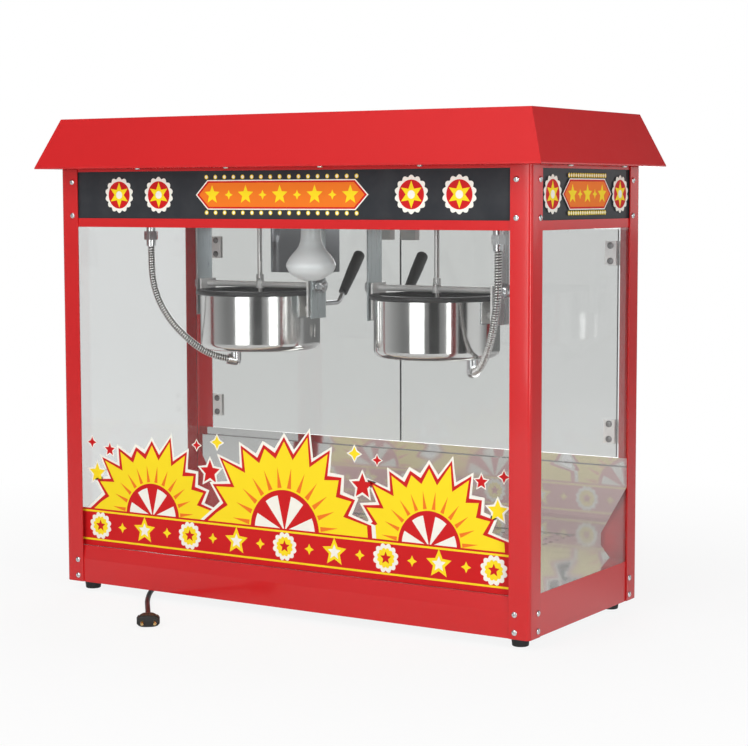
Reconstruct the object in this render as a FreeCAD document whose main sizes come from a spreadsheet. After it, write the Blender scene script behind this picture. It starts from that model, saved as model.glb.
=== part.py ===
import FreeCAD, Part
import math
import os
import re

import Sketcher

# Double-kettle cabinet popcorn machine, in millimetres.
# Frame: X to the right, Y to the back (the operator's side), Z up, origin on the floor under the
# middle of the cabinet. Left and right are as seen from the front.
doc = FreeCAD.newDocument("PopcornMachine")
Vector = FreeCAD.Vector
ACROSS = FreeCAD.Rotation(Vector(0, 1, 0), 90)
BACKWARD = FreeCAD.Rotation(Vector(1, 0, 0), -90)
FORWARD = FreeCAD.Rotation(Vector(1, 0, 0), 90)
UPRIGHT = FreeCAD.Rotation()
LEFT_RIGHT = (("left", -1), ("right", 1))

# Sizes: name, value or what it follows from, meaning
SIZES = (
    ("cab_width", 860, "cabinet over the posts, X"),
    ("cab_depth", 360, "cabinet over the posts, Y"),
    ("foot_height", 15, "rubber foot"),
    ("foot_radius", 14, "rubber foot"),
    ("foot_taper", 2, "how much narrower the foot is on the floor"),
    ("foot_round", 1.5, "rubber foot's lower edge"),
    ("foot_inset", 30, "foot centre from the cabinet's outside"),
    ("post_length", 675, "corner post"),
    ("post_top", "=foot_height + post_length", "height of the post tops"),
    ("post_leg", 34, "width of a post's flange"),
    ("post_gauge", 2, "post sheet"),
    ("post_round", 4, "post's outer corner"),
    ("sheet_gauge", 1.5, "painted panel sheet"),
    ("base_skirt", 38, "upright part of the front panel"),
    ("base_fold", "=foot_height + base_skirt", "height where the front panel folds inwards"),
    ("base_front_height", 60, "front panel"),
    ("base_front_top", "=foot_height + base_front_height", "height of the front panel's edge"),
    ("base_side_height", 63, "side panels"),
    ("base_side_top", "=foot_height + base_side_height", "height of the side panels' edges"),
    ("base_lean", 3, "how far the front panel leans in over its fold"),
    ("glass_setback", 10, "front pane behind the front panel"),
    ("ledge_depth", 11, "ledge under the front pane"),
    ("pane_gauge", 4, "fixed panes"),
    ("rear_panel_height", 218.8, "rear panel"),
    ("rear_panel_top", "=foot_height + rear_panel_height", "height of the rear panel's edge"),
    ("sign_height", 93, "sign band with its rails"),
    ("rail_bottom", "=post_top - sign_height", "underside of the sign rails"),
    ("rail_height", 9, "sign rail bar"),
    ("rail_depth", 16, "sign rail bar"),
    ("rail_lip", 5, "lip that overlaps the sign panel"),
    ("rail_lip_gauge", 2, "lip sheet"),
    ("sign_gauge", 3, "sign panel"),
    ("ceiling_drop", 50, "ceiling below the post tops"),
    ("ceiling_level", "=post_top - ceiling_drop", "underside of the ceiling"),
    ("ceiling_inset", 13, "ceiling edge from the inside of the posts"),
    ("eave_overhang", 30, "roof past the posts"),
    ("eave_gauge", 2, "eave frame sheet"),
    ("eave_border", 56, "width of the eave frame"),
    ("roof_height", 78, "roof cover"),
    ("roof_slope_in", 31, "how far the roof's faces lean in"),
    ("slide_gap", 0.3, "clearance of sliding faces"),
    ("fit_gap", 0.05, "running clearance on a radius"),
    ("deck_gauge", 1.2, "stainless deck sheet"),
    ("deck_level", "=base_front_top + slide_gap", "deck's underside"),
    ("sifter_half", 250, "half width of the deck's opening"),
    ("sifter_front", 8, "deck's opening behind the middle"),
    ("sifter_back", 122, "far edge of the deck's opening"),
    ("sifter_lap", 6, "perforated plate under the deck"),
    ("sifter_pitch", 22, "hole spacing"),
    ("sifter_side", 8, "least plain edge at the sides of the holes"),
    ("sifter_end", 10, "least plain edge before and behind the holes"),
    ("sifter_hole", 4, "hole radius"),
    ("liner_setback", 10, "rear liner from the rear panel"),
    ("liner_lap", 4, "rear liner below the deck's underside"),
    ("liner_lip", 12, "rear liner's upper edge over its step"),
    ("notch_in", 52, "notch in the liner's ends"),
    ("notch_low", 20, "notch's straight side over the deck"),
    ("notch_high", 39, "top of the notch's straight side over the deck"),
    ("notch_top", 130, "notch at the liner's end over the deck"),
    ("notch_foot", 32, "notch at the liner's foot"),
    ("drawer_width", 516, "kernel drawer tray"),
    ("drawer_length", 178, "kernel drawer tray"),
    ("drawer_height", 44, "kernel drawer tray"),
    ("drawer_wall", 1.2, "kernel drawer sheet"),
    ("drawer_margin", 6, "opening round the drawer"),
    ("drawer_flange", 12, "drawer front past the tray"),
    ("pull_half", 56, "half width of the drawer's pull"),
    ("pull_bar", 8, "drawer pull's bar"),
    ("pull_reach", 20, "drawer pull"),
    ("pull_room", 13, "finger room behind the pull"),
    ("pull_level", 18, "drawer pull over the tray's underside"),
    ("runner_width", 20, "drawer runner"),
    ("runner_height", 7.2, "drawer runner"),
    ("door_gauge", 5, "door pane"),
    ("door_gap", 3, "gap at the door's edges"),
    ("door_sill", 2.2, "door over the rear panel"),
    ("door_level", "=rear_panel_top + door_sill", "door's lower edge"),
    ("door_top", "=rail_bottom - door_gap", "door's upper edge"),
    ("hinge_height", 38, "door hinge"),
    ("hinge_leaf", 23, "hinge leaf width"),
    ("hinge_gauge", 2, "hinge leaf"),
    ("hinge_barrel", 4, "barrel radius"),
    ("hinge_pin", 2, "pin radius"),
    ("hinge_low_up", 40, "lower hinges over the door's lower edge"),
    ("hinge_low", "=door_level + hinge_low_up", "middle of the lower hinges"),
    ("hinge_high_down", 38, "upper hinges below the door's upper edge"),
    ("hinge_high", "=door_top - hinge_high_down", "middle of the upper hinges"),
    ("hinge_bolt", 3, "hinge bolt radius"),
    ("hinge_bolt_pitch", 24, "hinge bolt spacing"),
    ("hinge_bolt_set", 13.5, "hinge bolts from the pin"),
    ("hinge_nut", 3, "hinge bolt's nut"),
    ("hinge_head", 2.4, "hinge bolt's head"),
    ("hinge_stand_off", 0.5, "barrel from the post"),
    ("hinge_edge", 1, "hinge pin from the post's edge"),
    ("clamp_setback", 4, "clamp plate from the pin"),
    ("knob_reach", 24, "door knob"),
    ("knob_radius", 11, "door knob"),
    ("knob_neck", 5, "door knob's neck radius"),
    ("knob_foot", 8, "door knob's foot radius"),
    ("knob_round", 3, "door knob's front edge"),
    ("knob_x", 26, "door knob from the middle"),
    ("knob_up", 179, "door knob over the door's lower edge"),
    ("knob_level", "=door_level + knob_up", "door knob height"),
    ("strike_width", 20, "steel plate for the catch"),
    ("catch_width", 28, "magnetic catch"),
    ("catch_depth", 15, "magnetic catch"),
    ("catch_x", 24, "magnetic catch from the middle"),
    ("catch_drop", 21, "magnetic catch below the door's upper edge"),
    ("kettle_x", 168, "kettle centre from the middle"),
    ("kettle_y", 8, "kettle centre to the back"),
    ("kettle_drop", 138, "tilt axis below the ceiling"),
    ("tilt_level", "=ceiling_level - kettle_drop", "height of the tilt axis"),
    ("rim_drop", 8, "pan's rim below the tilt axis"),
    ("rim_height", 8, "pan's rim"),
    ("rim_high", "=tilt_level - rim_drop", "top of the pan's rim"),
    ("rim_low", "=rim_high - rim_height", "underside of the pan's rim"),
    ("shell_radius", 98, "polished kettle shell"),
    ("shell_height", 89, "polished kettle shell"),
    ("shell_low", "=rim_low - shell_height", "kettle shell's underside"),
    ("shell_wall", 1, "kettle shell sheet"),
    ("shell_round", 12, "kettle shell's lower edge"),
    ("rim_overhang", 7, "pan's rim past the shell"),
    ("rim_radius", "=shell_radius + rim_overhang", "pan's rim"),
    ("rim_round", 3, "edge of the pan's rim"),
    ("pan_wall", 1, "pan's wall"),
    ("pan_gap", 3.5, "air between the pan and the shell"),
    ("pan_radius", "=shell_radius - shell_wall - pan_gap - pan_wall", "inside of the pan"),
    ("pan_depth", 81, "pan"),
    ("pan_floor", "=rim_high - pan_depth", "pan's floor"),
    ("pan_base", 3, "pan's floor thickness"),
    ("pan_round", 8, "pan's inner corner"),
    ("heater_margin", 12.5, "heater plate's edge from the pan's inside"),
    ("bar_radius", 5, "crossbar"),
    ("bar_boss", 7, "boss in the crossbar"),
    ("bar_end", 3, "crossbar past the hangers"),
    ("boss_over", 0.2, "crossbar's top over the boss"),
    ("boss_under", 1, "boss below the crossbar"),
    ("ear_gap", 0.3, "ear from the pan's rim"),
    ("ear_gauge", 3, "ear plate"),
    ("ear_half", 20, "half width of an ear"),
    ("ear_drop", 50, "ear's lower edge below the tilt axis"),
    ("ear_rise", 8, "ear's upper edge over the tilt axis"),
    ("spacer_radius", 6, "spacer between shell and ear"),
    ("spacer_seat", 1, "spacer in the ear"),
    ("spacer_drop", 38, "spacer below the tilt axis"),
    ("ear_bolt", 5.5, "ear bolt's head radius"),
    ("ear_bolt_head", 2.2, "ear bolt's head"),
    ("hanger_gap", 4.7, "hanger from the ear"),
    ("hanger_offset", "=rim_radius + ear_gap + ear_gauge + hanger_gap", "hanger from the kettle's centre"),
    ("hanger_gauge", 3, "hanger plate"),
    ("hanger_half", 20, "half width of a hanger"),
    ("hanger_drop", 52, "hanger's lower edge below the tilt axis"),
    ("hanger_foot", 28, "flange under the ceiling"),
    ("handle_drop", 30, "handle rod below the tilt axis"),
    ("handle_radius", 4, "handle rod"),
    ("handle_reach", 72, "handle's bend behind the kettle's centre"),
    ("handle_turn", 16, "radius of the handle's bend"),
    ("handle_rise", 50.3, "angle of the grip over the floor"),
    ("grip_start", 20, "grip from the bend"),
    ("grip_length", 84, "grip"),
    ("grip_thin", 7.4, "grip's radius at its butt"),
    ("grip_thick", 9.6, "grip's radius"),
    ("grip_round", 6.7, "grip's end"),
    ("grip_bore_depth", 40, "grip's bore"),
    ("stir_radius", 3.5, "stirrer shaft"),
    ("stir_clear", 18.5, "stirrer arm's end from the pan's wall"),
    ("stir_arm", "=pan_radius - stir_clear", "stirrer arm"),
    ("stir_gap", 2.5, "stirrer arm over the pan's floor"),
    ("stir_disc", 6.5, "stirrer's collar radius"),
    ("stir_disc_gauge", 1.8, "stirrer's collar"),
    ("stir_hub", 8, "stirrer's hub radius"),
    ("stir_hub_height", 9, "stirrer's hub"),
    ("stir_bar", 3, "half width of a stirrer arm"),
    ("stir_bar_gauge", 4, "stirrer arm"),
    ("stir_cross", 44.4, "half length of the cross arm"),
    ("stir_blade", 8, "blade at an arm's end"),
    ("stir_blade_height", 14, "blade at an arm's end"),
    ("fork_half", 5, "half width of the fork"),
    ("fork_depth", 3.5, "half depth of the fork"),
    ("fork_top", 11.8, "fork over the collar's underside"),
    ("fork_gap", 1.5, "shaft's shoulder over the fork"),
    ("drive_radius", 4, "drive shaft"),
    ("tongue_gauge", 4, "drive tongue"),
    ("tongue_gap", 0.2, "tongue in the fork"),
    ("tongue_clear", 2.6, "tongue over the collar"),
    ("tongue_length", "=fork_top - stir_disc_gauge + fork_gap - tongue_clear", "drive tongue"),
    ("collar_level", "=tilt_level + bar_radius + boss_over", "underside of the stirrer's collar"),
    ("drive_shoulder", "=collar_level + fork_top + fork_gap", "where the shaft ends and the tongue starts"),
    ("shaft_room", 2, "shaft from its hole in the ceiling"),
    ("motor_size", 64, "gearbox side"),
    ("motor_height", 38, "gearbox"),
    ("motor_can", 27, "motor radius"),
    ("motor_bore", 28.5, "depth of the gearbox's bore"),
    ("lamp_set", 89, "lamp's middle behind the cabinet's front"),
    ("lamp_y", "=lamp_set - cab_depth/2", "lamp's middle"),
    ("lamp_drop", 125, "lamp's underside below the ceiling"),
    ("lamp_low", "=ceiling_level - lamp_drop", "lamp's underside"),
    ("lamp_radius", 40, "reflector bulb"),
    ("lamp_face", 14, "radius of the lamp's flat face"),
    ("lamp_face_round", 34, "edge of the lamp's face"),
    ("lamp_bowl", 34, "lamp's bowl, radius"),
    ("lamp_bowl_up", 12, "lamp's bowl over its underside"),
    ("lamp_bowl_round", 20, "lamp's bowl"),
    ("lamp_wide", 24, "widest place over the lamp's underside"),
    ("lamp_wide_round", 10.5, "lamp's widest place"),
    ("lamp_shoulder", 33, "lamp's shoulder, radius"),
    ("lamp_shoulder_up", 37, "lamp's shoulder over its underside"),
    ("lamp_shoulder_round", 55, "lamp's shoulder"),
    ("lamp_throat", 18, "foot of the neck, radius"),
    ("lamp_throat_up", 54, "foot of the neck over the lamp's underside"),
    ("lamp_throat_round", 28, "foot of the neck"),
    ("lamp_neck", 16, "neck radius"),
    ("lamp_neck_level", 66, "neck over the lamp's underside"),
    ("lamp_cap_drop", 28, "bulb's end below the ceiling"),
    ("lamp_cap", "=ceiling_level - lamp_cap_drop", "where the bulb meets its holder"),
    ("lamp_cap_radius", 15, "end of the neck"),
    ("lamp_plate", 34, "holder's plate radius"),
    ("lamp_plate_gauge", 4, "holder's plate"),
    ("conduit_radius", 6, "armoured conduit"),
    ("conduit_bore", 4, "armoured conduit's bore radius"),
    ("conduit_rib", 4, "spacing of the conduit's ribs"),
    ("conduit_groove", 0.8, "depth between ribs"),
    ("fitting_x", 324, "ceiling fitting"),
    ("fitting_set", 100, "ceiling fitting behind the cabinet's front"),
    ("fitting_y", "=fitting_set - cab_depth/2", "ceiling fitting"),
    ("fitting_length", 75, "ceiling fitting"),
    ("fitting_low", "=ceiling_level - fitting_length", "ceiling fitting's lower end"),
    ("fitting_run", 30, "straight end of the conduit"),
    ("fitting_wall", 2, "fitting's tube past the conduit"),
    ("fitting_nut", 12, "nut, over its corners"),
    ("fitting_nut_height", 14, "nut"),
    ("fitting_nut_up", 10, "nut from the fitting's lower end"),
    ("fitting_seat", 14, "ceiling nut, over its corners"),
    ("fitting_seat_height", 6, "ceiling nut"),
    ("elbow_in", 40, "elbow within the shell's outside"),
    ("elbow_x", "=kettle_x + shell_radius - elbow_in", "elbow under the kettle"),
    ("elbow_back", 10, "elbow behind the kettle's centre"),
    ("elbow_y", "=kettle_y + elbow_back", "elbow under the kettle"),
    ("elbow_drop", 23, "elbow's axis below the shell"),
    ("elbow_level", "=shell_low - elbow_drop", "elbow's axis"),
    ("elbow_radius", 9, "elbow"),
    ("elbow_reach", 14, "elbow's outlet"),
    ("elbow_rise", 12, "angle of the elbow's outlet over the floor"),
    ("wiring_width", 96, "wiring box, X"),
    ("wiring_depth", 65, "wiring box, Y"),
    ("wiring_height", 122, "wiring box"),
    ("wiring_low", "=ceiling_level - wiring_height", "wiring box's underside"),
    ("wiring_x", -160, "wiring box's middle"),
    ("wiring_set", 52, "wiring box's middle from the cabinet's back"),
    ("wiring_y", "=cab_depth/2 - wiring_set", "wiring box's middle"),
    ("switch_pitch", 60, "rocker switch spacing"),
    ("switch_drop", 40, "rocker switches below the post tops"),
    ("switch_level", "=post_top - switch_drop", "rocker switch height"),
    ("switch_gap", 0.5, "rocker from its frame"),
    ("switch_depth", 12, "switch housing behind the panel"),
    ("rocker_half", 6.5, "half width of a rocker"),
    ("rocker_reach", 10.5, "half height of a rocker"),
    ("rocker_sweep", 1.8, "room for the rocker's ends"),
    ("rocker_front", 5, "rocker's ends in front of its pivot"),
    ("rocker_waist", 3.5, "rocker's middle in front of its pivot"),
    ("rocker_back", 3, "rocker behind its pivot"),
    ("rocker_taper", 1.5, "rocker's back edge"),
    ("rocker_tip", 9, "angle of the rocker when off"),
    ("pivot_depth", 1, "rocker's pivot behind the panel's face"),
    ("pivot_radius", 1.2, "rocker's pivot"),
    ("pivot_seat", 1.5, "rocker's pivot in the housing"),
    ("case_wall", 3, "switch housing round the rocker"),
    ("case_gap", 0.3, "switch housing in the panel's hole"),
    ("bezel_wall", 5, "switch frame round the rocker"),
    ("bezel_gauge", 2, "switch frame"),
    ("rocker_room", 9, "room behind the panel's face"),
    ("screw_radius", 4.5, "pan-head screw"),
    ("screw_head", 2.5, "pan-head screw"),
    ("screw_edge", 10, "front and rear post screws from the post's inner edge"),
    ("screw_side_edge", 8, "side post screws from the post's inner edge"),
    ("screw_top", 21, "highest post screw below the post's top"),
    ("screw_sign", 75, "next post screw below the post's top"),
    ("screw_base", 36, "lowest pair of post screws over the base's underside"),
    ("screw_floor", 10, "lowest post screw over the base's underside"),
    ("eave_screw_long", 172, "spacing of the eave screws along the front and the back"),
    ("eave_screw_short", 180, "spacing of the eave screws along the sides"),
    ("cord_radius", 4, "mains lead"),
    ("coil_x", -344, "coil's middle"),
    ("coil_y", 290, "coil's middle"),
    ("coil_inner", 38.5, "innermost turn"),
    ("coil_clear", 0.8, "gap between turns and layers"),
    ("coil_pitch", "=2*cord_radius + coil_clear", "turn and layer spacing"),
    ("coil_turns", 3.5, "turns in the coil"),
    ("tail_run", 28.8, "straight end of the tail before the coil"),
    ("tail_bend", 16, "where the tail starts to fall, past the gland"),
    ("lead_run", 56, "straight start of the lead after the coil"),
    ("gland_level", 30, "cord gland's height"),
    ("gland_reach", 32, "cord gland"),
    ("gland_sleeve", 4, "cord gland round the lead"),
    ("gland_neck", "=cord_radius + gland_sleeve", "cord gland's radius in the panel"),
    ("gland_inside", 6, "cord gland behind the panel's face"),
    ("gland_flange", 4, "cord gland's flange past its neck"),
    ("gland_flange_gauge", 5, "cord gland's flange"),
    ("gland_wall", 1.4, "cord gland's thin end"),
    ("plug_length", 44, "plug body"),
    ("plug_radius", 17, "plug body"),
    ("plug_half", 9, "half thickness of the plug body"),
    ("plug_collar", 1.5, "plug round the lead"),
    ("plug_pin", 2.4, "plug pin radius"),
    ("plug_pin_length", 19, "plug pin"),
    ("plug_pin_pitch", 19, "plug pin spacing"),
)

sheet = doc.addObject("Spreadsheet::Sheet", "Sizes")
for row, (alias, value, meaning) in enumerate(SIZES, start=1):
    sheet.set(f"A{row}", meaning)
    sheet.set(f"B{row}", str(value))
    sheet.setAlias(f"B{row}", alias)
doc.recompute()
ALIASES = {alias for alias, value, meaning in SIZES}
NODES = []


def bind(text):
    """Write an expression so that its size names point at the sheet."""
    return re.sub(r"[a-z_]\w*", lambda m: f"Sizes.{m[0]}" if m[0] in ALIASES else m[0], text)


def size(text):
    """Value of an expression in the sheet's sizes."""
    found = sheet.evalExpression(text)
    return float(getattr(found, "Value", found))


def node(label, obj):
    """Hand an object in under the name of its piece."""
    obj.Label = label
    NODES.append(obj)
    return obj


def place(obj, x="0", y="0", z="0", turn=UPRIGHT):
    """Seat an object by expressions in the sheet's sizes."""
    obj.Placement = FreeCAD.Placement(Vector(), turn)
    for axis, text in zip("xyz", (x, y, z)):
        obj.setExpression(f"Placement.Base.{axis}", bind(text))
    return obj


def make(kind, name, **sizes):
    """A primitive whose properties are bound to the sheet."""
    obj = doc.addObject(kind, name)
    for key, text in sizes.items():
        obj.setExpression(key, bind(text))
    return obj


def block(name, xs, ys, zs):
    """A box between two planes on each axis."""
    spans = [f"({high}) - ({low})" for low, high in (xs, ys, zs)]
    obj = make("Part::Box", name, Length=spans[0], Width=spans[1], Height=spans[2])
    return place(obj, xs[0], ys[0], zs[0])


def rod(name, radius, length, x, y, z, turn=UPRIGHT):
    """A round bar that starts at a point and runs along its turned Z axis."""
    obj = make("Part::Cylinder", name, Radius=radius, Height=length)
    return place(obj, x, y, z, turn)


def hexagon(name, radius, height):
    """A hexagonal prism, such as a nut, by the radius over its corners."""
    obj = make("Part::Prism", name, Circumradius=radius, Height=height)
    obj.Polygon = 6
    return obj


def both(text):
    """The span from minus to plus an expression."""
    return (f"-({text})", text)


def around(middle, half):
    """The span of a half width to both sides of a middle."""
    return (f"{middle} - ({half})", f"{middle} + {half}")


def side_span(sign, low, high):
    """A span on the right, or its mirror image on the left."""
    return (low, high) if sign > 0 else (f"-({high})", f"-({low})")


def fuse(name, pieces):
    """One solid from pieces that are welded or moulded together."""
    obj = doc.addObject("Part::MultiFuse", name)
    obj.Shapes = pieces
    return obj


def cut(name, base, tools):
    """A solid with others taken out of it."""
    obj = doc.addObject("Part::Cut", name)
    obj.Base = base
    obj.Tool = tools[0] if len(tools) == 1 else fuse(f"{name}Tools", tools)
    return obj


def group(name, pieces):
    """Separate solids that share one node."""
    obj = doc.addObject("Part::Compound", name)
    obj.Links = pieces
    return obj


def body(name):
    """An empty part that a chain of features fills."""
    return doc.addObject("PartDesign::Body", name)


def outline(part, plane, points):
    """A closed outline of straight lines whose corners are bound to the sheet."""
    sketch = part.newObject("Sketcher::SketchObject", f"{part.Name}Outline")
    support = [item for item in part.Origin.OriginFeatures if item.Role == plane][0]
    sketch.AttachmentSupport = (support, [""])
    sketch.MapMode = "FlatFace"
    corners = [Vector(size(across), size(along), 0) for across, along in points]
    count = len(corners)
    for i in range(count):
        sketch.addGeometry(Part.LineSegment(corners[i], corners[(i + 1) % count]), False)
    for i in range(count):
        sketch.addConstraint(Sketcher.Constraint("Coincident", i, 2, (i + 1) % count, 1))
    for i, texts in enumerate(points):
        for kind, text in zip(("DistanceX", "DistanceY"), texts):
            datum = sketch.addConstraint(Sketcher.Constraint(kind, -1, 1, i, 1, size(text)))
            sketch.setExpression(f"Constraints[{datum}]", bind(text))
    return sketch


def round_off(part, feature, edge_test, radius):
    """Fillet the edges of a feature that pass a test."""
    doc.recompute()
    chosen = [f"Edge{i}" for i, edge in enumerate(feature.Shape.Edges, start=1) if edge_test(edge)]
    fillet = part.newObject("PartDesign::Fillet", f"{part.Name}Round")
    fillet.Base = (feature, chosen)
    fillet.setExpression("Radius", bind(radius))
    return fillet


def on_ring(radius, level):
    """Test for the round edge of a turned piece at a radius and a height."""
    def test(edge):
        curve = edge.Curve
        if not isinstance(curve, Part.Circle):
            return False
        return abs(curve.Radius - size(radius)) < 1e-4 and abs(curve.Center.z - size(level)) < 1e-4
    return test


def lathe(name, points, rounds=()):
    """A turned piece from its half outline of (radius, height) corners."""
    part = body(name)
    turned = part.newObject("PartDesign::Revolution", f"{name}Turned")
    turned.Profile = outline(part, "XZ_Plane", points)
    turned.ReferenceAxis = (turned.Profile[0], ["V_Axis"])
    turned.Angle = 360
    tip = turned
    for radius, level, amount in rounds:
        tip = round_off(part, tip, on_ring(radius, level), amount)
    return part


def section_bar(name, points, xs):
    """A bar of constant (Y, Z) section between two X planes."""
    part = body(name)
    pad = part.newObject("PartDesign::Pad", f"{name}Bar")
    pad.Profile = outline(part, "YZ_Plane", points)
    pad.setExpression("Length", bind(f"({xs[1]}) - ({xs[0]})"))
    return place(part, xs[0])


def solid(name, shape):
    """A piece whose shape is worked out here."""
    obj = doc.addObject("Part::Feature", name)
    obj.Shape = shape
    return obj


# Levels and faces that several pieces share
POST_IN_X = "cab_width/2 - post_gauge"
POST_IN_Y = "cab_depth/2 - post_gauge"
RAIL_TOP = "rail_bottom + rail_height"
CEILING_TOP = "ceiling_level + sheet_gauge"
GLASS_FRONT = f"({POST_IN_Y} - glass_setback)"
LINER_Y = f"({POST_IN_Y} - liner_setback)"
FLOOR_TOP = "foot_height + sheet_gauge"
GLAND_X = "(coil_x + coil_inner + coil_pitch*coil_turns/2)"
HINGE_X = "cab_width/2 - post_leg - hinge_edge"
HINGE_Y = "cab_depth/2 + hinge_barrel + hinge_stand_off"
DOOR_Y = ("cab_depth/2 - door_gauge", "cab_depth/2")
LEAF_Y = ("cab_depth/2 + slide_gap", "cab_depth/2 + slide_gap + hinge_gauge")
CLAMP_Y = (f"{DOOR_Y[0]} - hinge_gauge", DOOR_Y[0])
BRANCHES = [(sx, sy) for sx in (-1, 1) for sy in (-1, 1)]


def corner_posts():
    """Angle posts with a rounded outer corner."""
    posts = []
    for sx, sy in BRANCHES:
        part = body(f"Post{len(posts)}")
        corners = (("cab_width/2", "cab_depth/2"), ("cab_width/2 - post_leg", "cab_depth/2"),
                   ("cab_width/2 - post_leg", POST_IN_Y), (POST_IN_X, POST_IN_Y),
                   (POST_IN_X, "cab_depth/2 - post_leg"), ("cab_width/2", "cab_depth/2 - post_leg"))
        pad = part.newObject("PartDesign::Pad", f"{part.Name}Angle")
        pad.Profile = outline(part, "XY_Plane", [(f"{sx}*({x})", f"{sy}*({y})") for x, y in corners])
        pad.setExpression("Length", bind("post_top - foot_height"))
        edge_x = sx * size("cab_width/2")
        edge_y = sy * size("cab_depth/2")
        round_off(part, pad, lambda edge: all(
            abs(v.X - edge_x) < 1e-4 and abs(v.Y - edge_y) < 1e-4 for v in edge.Vertexes), "post_round")
        posts.append(place(part, z="foot_height"))
    node("corner_posts", group("CornerPosts", posts))


def rubber_feet():
    """Four tapered rubber feet."""
    low = "foot_radius - foot_taper"
    feet = []
    for sx, sy in BRANCHES:
        foot = lathe(f"Foot{len(feet)}", (("0", "0"), (low, "0"), ("foot_radius", "foot_height"),
                                          ("0", "foot_height")), ((low, "0", "foot_round"),))
        feet.append(place(foot, f"{sx}*(cab_width/2 - foot_inset)", f"{sy}*(cab_depth/2 - foot_inset)"))
    node("rubber_feet", group("RubberFeet", feet))


def base_panels():
    """Floor, folded front panel, side panels and the rear panel with the drawer's opening."""
    inner_x = f"{POST_IN_X} - sheet_gauge"
    inner_y = f"{POST_IN_Y} - sheet_gauge"
    node("base_floor", block("BaseFloor", both(inner_x), both(inner_y), ("foot_height", FLOOR_TOP)))
    front = (("0", "foot_height"), ("0", "base_fold"), ("base_lean", "base_front_top"),
             ("glass_setback + ledge_depth", "base_front_top"),
             ("glass_setback + ledge_depth", "base_front_top - sheet_gauge"),
             ("base_lean + sheet_gauge", "base_front_top - sheet_gauge"),
             ("sheet_gauge", "base_fold"), ("sheet_gauge", "foot_height"))
    panel = section_bar("BaseFront", [(f"{y} - ({POST_IN_Y})", z) for y, z in front], both(inner_x))
    node("base_front_panel", panel)
    sides = [block(f"BaseSide{s}", side_span(s, inner_x, POST_IN_X), (f"-({POST_IN_Y})", inner_y),
                   ("foot_height", "base_side_top")) for name, s in LEFT_RIGHT]
    node("base_side_panels", group("BaseSides", sides))
    sheet_back = block("RearSheet", both(POST_IN_X), (inner_y, POST_IN_Y), ("foot_height", "rear_panel_top"))
    low = f"{FLOOR_TOP} + runner_height + slide_gap"
    opening = block("DrawerOpening", both("drawer_width/2 + drawer_margin"), (inner_y, POST_IN_Y),
                    (f"{low} - drawer_margin/3", f"{low} + drawer_height + drawer_margin"))
    gland_hole = rod("GlandHole", "gland_neck + fit_gap", "sheet_gauge", GLAND_X, inner_y, "gland_level",
                     BACKWARD)
    node("base_rear_panel", cut("BaseRear", sheet_back, [opening, gland_hole]))


def deck():
    """Flat stainless deck over a perforated plate, and a rear liner with a stepped upper edge."""
    half = f"{POST_IN_X} - pane_gauge - slide_gap"
    level = ("deck_level", "deck_level + deck_gauge")
    floor = block("DeckFloor", both(half),
                  (f"-{GLASS_FRONT} + pane_gauge + slide_gap", f"{LINER_Y} - slide_gap"), level)
    opening = block("DeckOpening", both("sifter_half"), ("sifter_front", "sifter_back"), level)
    node("sifter_plate", sifter())
    foot = "deck_level - liner_lap"
    step = "rear_panel_top - liner_lip"
    lip = "liner_setback - sheet_gauge - deck_gauge"
    upright = (("0", foot), ("0", step), (lip, step), (lip, "rear_panel_top + deck_gauge"),
               ("liner_setback", "rear_panel_top + deck_gauge"), ("liner_setback", "rear_panel_top"),
               (f"{lip} + deck_gauge", "rear_panel_top"), (f"{lip} + deck_gauge", f"{step} - deck_gauge"),
               ("deck_gauge", f"{step} - deck_gauge"), ("deck_gauge", foot))
    liner = section_bar("RearLiner", [(f"{y} + {LINER_Y}", z) for y, z in upright], both(half))
    notches = []
    for name, s in LEFT_RIGHT:
        part = body(f"LinerNotch{name}")
        pad = part.newObject("PartDesign::Pad", f"{part.Name}Room")
        corners = ((f"{half} - notch_in", "deck_level + notch_low"),
                   (f"{half} - notch_in", "deck_level + notch_high"), (half, "deck_level + notch_top"),
                   (half, foot), (f"{half} - notch_foot", foot))
        pad.Profile = outline(part, "XZ_Plane", [(f"{s}*({x})", z) for x, z in corners])
        pad.setExpression("Length", bind("deck_gauge"))
        notches.append(place(part, y=f"{LINER_Y} + deck_gauge"))
    node("deck_panels", group("DeckPanels", [cut("PlainDeck", floor, [opening]),
                                             cut("NotchedLiner", liner, notches)]))


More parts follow.
